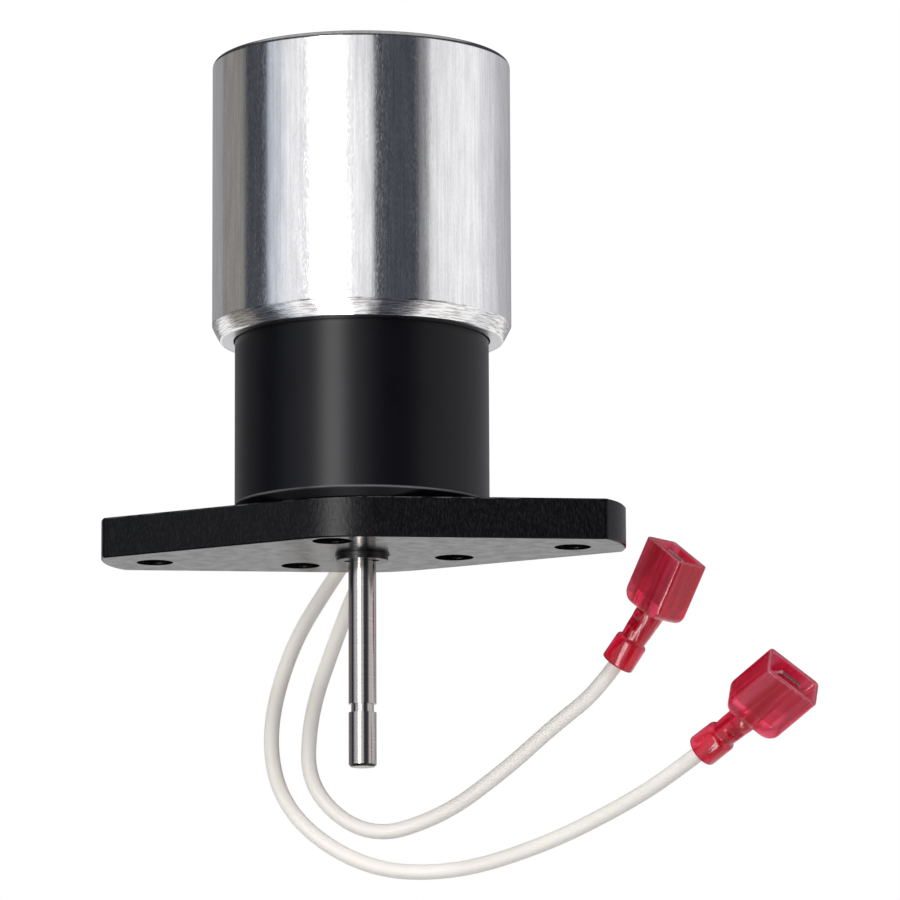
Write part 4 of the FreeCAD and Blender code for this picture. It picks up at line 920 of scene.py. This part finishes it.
def make_terminal_shell(number):
    """The nylon moulding as one closed skin, outside first and then inside."""
    knee, box, barrel = terminal_frame(number)
    half_width = BOX_WIDTH / 2
    half_thickness = BOX_THICKNESS / 2
    loops = []

    def add_box_loop(height, inset_wide, inset_thin, rounding):
        loop = round_loop(half_width - inset_wide, half_thickness - inset_thin, rounding)
        loops.append(placed(loop, knee, box, height - BOX_SINK))

    mid_rim = RIM_ROUNDING * RIM_BULGE
    add_box_loop(BOX_LENGTH, RIM_ROUNDING, RIM_ROUNDING, BOX_ROUNDING - RIM_ROUNDING)
    add_box_loop(BOX_LENGTH - mid_rim, mid_rim, mid_rim, BOX_ROUNDING)
    for height in (BOX_LENGTH - RIM_ROUNDING, BOX_LENGTH - 2 * RIM_ROUNDING,
                   SHOULDER_HEIGHT + RIM_ROUNDING):
        add_box_loop(height, 0, 0, BOX_ROUNDING)
    for step in range(SHOULDER_STEPS + 1):
        angle = step / SHOULDER_STEPS * math.pi / 2
        inset = 1 - math.cos(angle)
        add_box_loop(SHOULDER_HEIGHT * (1 - math.sin(angle)), SHOULDER_INSETS[0] * inset,
                     SHOULDER_INSETS[1] * inset, BOX_ROUNDING)
    add_box_loop(0, half_width - NECK_HALF_SIZES[0], half_thickness - NECK_HALF_SIZES[1],
                 NECK_ROUNDING)
    for distance, radius, press in BARREL_OUTSIDE:
        loops.append(placed(crimped(radius, press), knee, barrel, -distance))
    for distance, radius in BARREL_INSIDE:
        loops.append(placed(round_loop(radius, radius, radius), knee, barrel, -distance))
    bore = round_loop(BORE_RADIUS, BORE_RADIUS, BORE_RADIUS)
    loops.append(placed(bore, knee, box, BOX_FLOOR / 2))
    loops.append(placed(bore, knee, box, BOX_FLOOR - BOX_SINK))
    for height, inset in (
            (BOX_FLOOR, BOX_WALL + FLOOR_ROUNDING), (BOX_FLOOR + FLOOR_ROUNDING, BOX_WALL),
            (BOX_LENGTH - RIM_ROUNDING, BOX_WALL), (BOX_LENGTH, BOX_WALL - RIM_ROUNDING)):
        add_box_loop(height, inset, inset, BOX_INNER_ROUNDING)
    build = bmesh.new()
    add_skin(build, loops, closed=True)
    shell = finish_mesh("nylon_terminal_%d" % number, build)
    shell.data.shade_smooth()
    shell.data.materials.append(nylon.material)
    own_place = shell.data.attributes.new("box_place", "FLOAT_VECTOR", "POINT")
    way, wide, thin = box
    for vertex, mark in zip(shell.data.vertices, own_place.data):
        away = vertex.co / MM - knee
        mark.vector = (away.dot(wide), away.dot(thin), away.dot(way))
    return shell


# %% Terminal blades
BLADE_OUTLINE = [(1.3, 0.0), (1.3, 3.4), (3.175, 3.4), (3.175, 10.0), (2.1, 11.3)]
BLADE_HALF_THICKNESS = 0.4
BLADE_EDGE = 0.14
FERRULE_SECTION = [(-0.8, 0.0), (-0.8, 1.6), (-0.6, 1.8), (7.1, 1.8), (7.3, 1.7), (7.3, 1.2),
                   (0.8, 1.2), (0.8, 0.0)]
POLE_RADIUS = 0.0005


def make_terminal_blade(number):
    """The stamped blade with broken edges, and the ferrule that is crimped on the wire."""
    knee, box, barrel = terminal_frame(number)
    way, wide, thin = box
    build = bmesh.new()
    outline = BLADE_OUTLINE + [(-x, reach) for x, reach in reversed(BLADE_OUTLINE)]
    sides = []
    for side in (-1, 1):
        places = [knee + way * reach + wide * x + thin * side * BLADE_HALF_THICKNESS
                  for x, reach in outline]
        sides.append([build.verts.new(place * MM) for place in places])
    lower, upper = sides
    build.faces.new(lower)
    build.faces.new(upper)
    for index, corner in enumerate(lower):
        build.faces.new((lower[index - 1], corner, upper[index], upper[index - 1]))
    bmesh.ops.bevel(build, geom=build.edges[:], offset=BLADE_EDGE * MM, segments=2,
                    affect="EDGES", profile=0.5)
    loops = []
    for distance, radius in FERRULE_SECTION:
        size = max(radius, POLE_RADIUS)
        loops.append(placed(round_loop(size, size, size), knee, barrel, -distance))
    add_skin(build, loops, closed=False)
    blade = finish_mesh("tab_blade_%d" % number, build)
    blade.data.materials.append(tinned.material)
    return blade


for number in LEAD_RUNS:
    for piece, node, slot in (
            (make_terminal_shell(number), "terminal_insulator_%d", "red_nylon"),
            (make_terminal_blade(number), "terminal_blade_%d", "tinned_brass")):
        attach(piece, "actuator")
        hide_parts(node % number)
        print(piece.name, len(piece.data.polygons), "faces")

# %% [markdown]
# ## Cap screws
#
# Three socket cap screws hold the plate to the housing, and sit deep in its underside.
# One is skinned in loops, from the floor of its hexagon socket round to its tip. A tree
# then sets it out on the circle, so the number of screws is one value.

# %% Cap screws
SCREW_POINTS = 48
HEAD_BOTTOM = 1.3
SOCKET_RADIUS = 1.44
SOCKET_DEPTH = 1.5
SOCKET_SIDES = 6
SCREW_COUNT = 3
SCREW_OUTSIDE = [(2.35, HEAD_BOTTOM), (2.5, 1.33), (2.65, 1.45), (2.73, 1.6), (2.75, 1.75),
                 (2.75, 4.2), (2.65, 4.3), (1.5, 4.3), (1.5, 12.0), (1.2, 12.3), (POLE_RADIUS, 12.3)]
SCREW_CIRCLE = 16.9
FIRST_SCREW = math.radians(24.3)
SHARP_ANGLE = math.radians(35)

dull_black = grained("black_oxide_screws", (0.004, 0.004, 0.005), (0.016, 0.016, 0.017),
                     0.55, 0.75, 0.4, 0.4, Specular_IOR_Level=0.12)


def screw_loop(radius, height, sides=None):
    """The points of a circle, or of a polygon with its corners on it, at one height."""
    points = []
    for step in range(SCREW_POINTS):
        angle = 2 * math.pi * step / SCREW_POINTS
        reach = radius
        if sides:
            half_side = math.pi / sides
            reach *= math.cos(half_side) / math.cos(angle % (2 * half_side) - half_side)
        points.append(Vector((reach * math.cos(angle), reach * math.sin(angle), height)))
    return points


def make_screw():
    """One screw as a closed skin, with its hexagon socket open downwards."""
    socket_floor = HEAD_BOTTOM + SOCKET_DEPTH
    loops = [screw_loop(POLE_RADIUS, socket_floor), screw_loop(SOCKET_RADIUS, socket_floor, SOCKET_SIDES),
             screw_loop(SOCKET_RADIUS, HEAD_BOTTOM, SOCKET_SIDES)]
    loops += [screw_loop(radius, height) for radius, height in SCREW_OUTSIDE]
    build = bmesh.new()
    add_skin(build, loops, closed=False)
    return finish_mesh("screw_blank", build)


def make_ring_tree():
    """Repeat one piece round a circle, from a first angle."""
    tree, entry, end = new_tree("ring_of_pieces", Count=3, Circle_Radius=0.01, First_Angle=0.0)
    circle = add_node(tree, "GeometryNodeMeshCircle", Vertices=entry["Count"],
                      Radius=entry["Circle Radius"])
    seats = add_node(tree, "GeometryNodeTransform", Geometry=circle.outputs[0],
                     Rotation=joined(tree, Z=entry["First Angle"]))
    pieces = add_node(tree, "GeometryNodeInstanceOnPoints", Points=seats.outputs[0],
                      Instance=entry["Geometry"])
    finish_tree(tree, pieces.outputs[0], entry, end)
    return tree


cap_screws = shaped("cap_screws", make_screw(), make_ring_tree(), Count=SCREW_COUNT,
                    Circle_Radius=SCREW_CIRCLE * MM, First_Angle=FIRST_SCREW,
                    Finish=dull_black.material)
cap_screws.data.set_sharp_from_angle(angle=SHARP_ANGLE)
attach(cap_screws, "actuator")
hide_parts("housing_screws")
low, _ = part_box("housing_screws")
corners = [corner.co for corner in cap_screws.data.vertices]
print("cap screws:", len(cap_screws.data.polygons), "faces, off the CAD box by (mm)",
      [round(abs(min(place[axis] for place in corners) - low[axis]) / MM, 3) for axis in range(3)])

# %% [markdown]
# ## Inner parts
#
# The coil, pole, plunger and bearings are sealed inside, but a part in a library is also
# looked at opened up, so they get finishes of their own: bronze, soft iron, enamelled
# copper, nylon and tape.

# %% Inner parts
bronze = grained("sintered_bronze", (0.42, 0.27, 0.12), (0.60, 0.42, 0.22),
                 0.34, 0.50, 0.3, 0.3, Metallic=1.0)
iron = grained("turned_soft_iron", (0.34, 0.34, 0.35), (0.50, 0.50, 0.51),
               0.26, 0.42, 20.0, 0.2, Metallic=1.0)
copper = grained("enamelled_copper", (0.40, 0.14, 0.05), (0.70, 0.30, 0.12),
                 0.22, 0.38, 25.0, 0.28, Metallic=1.0)
bobbin = grained("bobbin_nylon", (0.04, 0.04, 0.045), (0.07, 0.07, 0.075),
                 0.4, 0.6, 1.0, 1.0, depth_mm=0.03)
tape = grained("coil_tape", (0.55, 0.40, 0.05), (0.72, 0.55, 0.10),
               0.3, 0.5, 18.0, 3.0, depth_mm=0.03)

FINISHES = {
    "can_steel": steel, "housing_black": anodised, "plate_black": oxide,
    "shaft_steel": ground, "black_spring_steel": blackened,
    "bearing_bronze": bronze, "soft_iron": iron, "copper_wire": copper,
    "bobbin_nylon": bobbin, "coil_tape": tape, "black_rubber": rubber,
    "lead_insulation": ivory, "red_nylon": nylon, "tinned_brass": tinned,
}
for part in frame["record"]["subparts"]:
    solid = frame["nodes"][part["node"]]
    for place in solid.material_slots:
        place.material = FINISHES[part["material_slot"]].material

# %% [markdown]
# ## Return spring
#
# The spring lifts the shaft again, so it gets shorter as the shaft goes out. Its wire
# follows a rule: a closed turn at each end and open turns between. The tree bends a
# spiral to that rule and sweeps the wire along it.

# %% Return spring
SPRING_RADIUS = 7.5
SPRING_WIRE_RADIUS = 0.6
SPRING_OPEN_TURNS = 3.5
SPRING_CLOSED_TURNS = 1.0
SPRING_END_GAP = 0.05


def make_spring_tree():
    """A compression spring: closed turns at both ends, open turns between."""
    tree, entry, end = new_tree(
        "coil_spring", Coil_Radius=0.01, Wire_Radius=0.001, Open_Turns=4.0, Closed_Turns=1.0,
        Closed_Rise=0.001, Open_Rise=0.01, Bottom=0.0)
    top_start = calculate(tree, "ADD", entry["Closed Turns"], entry["Open Turns"])
    turns = calculate(tree, "ADD", top_start, entry["Closed Turns"])
    spiral = add_node(tree, "GeometryNodeCurveSpiral", Resolution=48, Rotations=turns,
                      Start_Radius=entry["Coil Radius"], End_Radius=entry["Coil Radius"],
                      Height=0.0)
    share = add_node(tree, "GeometryNodeSplineParameter").outputs["Factor"]
    turn = calculate(tree, "MULTIPLY", share, turns)
    rise = calculate(tree, "ADD", entry["Bottom"], entry["Wire Radius"])
    for start, finish, height_gain in (
            (0.0, entry["Closed Turns"], entry["Closed Rise"]),
            (entry["Closed Turns"], top_start, entry["Open Rise"]),
            (top_start, turns, entry["Closed Rise"])):
        gained = add_node(tree, "ShaderNodeMapRange", Value=turn, From_Min=start,
                          From_Max=finish, To_Min=0.0, To_Max=height_gain)
        rise = calculate(tree, "ADD", rise, gained.outputs[0])
    line = add_node(tree, "GeometryNodeSetPosition", Geometry=spiral.outputs[0],
                    Offset=joined(tree, Z=rise))
    wire = add_node(tree, "GeometryNodeCurvePrimitiveCircle", Resolution=14,
                    Radius=entry["Wire Radius"])
    spring = add_node(tree, "GeometryNodeCurveToMesh", Curve=line.outputs[0],
                      Profile_Curve=wire.outputs[0], Fill_Caps=True)
    finish_tree(tree, spring.outputs[0], entry, end)
    return tree


spring_low, spring_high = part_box("return_spring")
spring_height = (spring_high.z - spring_low.z) / MM
closed_rise = (2 * SPRING_WIRE_RADIUS + SPRING_END_GAP) * SPRING_CLOSED_TURNS
open_rise = spring_height - 2 * SPRING_WIRE_RADIUS - 2 * closed_rise
spring = shaped("coil_spring", section_object("spring_base", [(0, 0)]), make_spring_tree(),
                Coil_Radius=SPRING_RADIUS * MM, Wire_Radius=SPRING_WIRE_RADIUS * MM,
                Open_Turns=SPRING_OPEN_TURNS, Closed_Turns=SPRING_CLOSED_TURNS,
                Closed_Rise=closed_rise * MM, Open_Rise=open_rise * MM, Bottom=spring_low.z,
                Finish=ground.material)
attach(spring, "actuator")
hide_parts("return_spring")
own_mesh(spring)
print("spring:", len(spring.data.polygons), "faces, top at (mm)",
      round(max(corner.co.z for corner in spring.data.vertices) / MM, 3))

# %% [markdown]
# ## Leads in place
#
# The curves take the insulation's finish and stand for the plain CAD tubes, each
# ending in its red terminal.

# %% Leads in place
for number, lead in leads.items():
    lead.data.materials.append(ivory.material)
    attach(lead, "actuator")
    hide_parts("lead_wire_%d" % number)
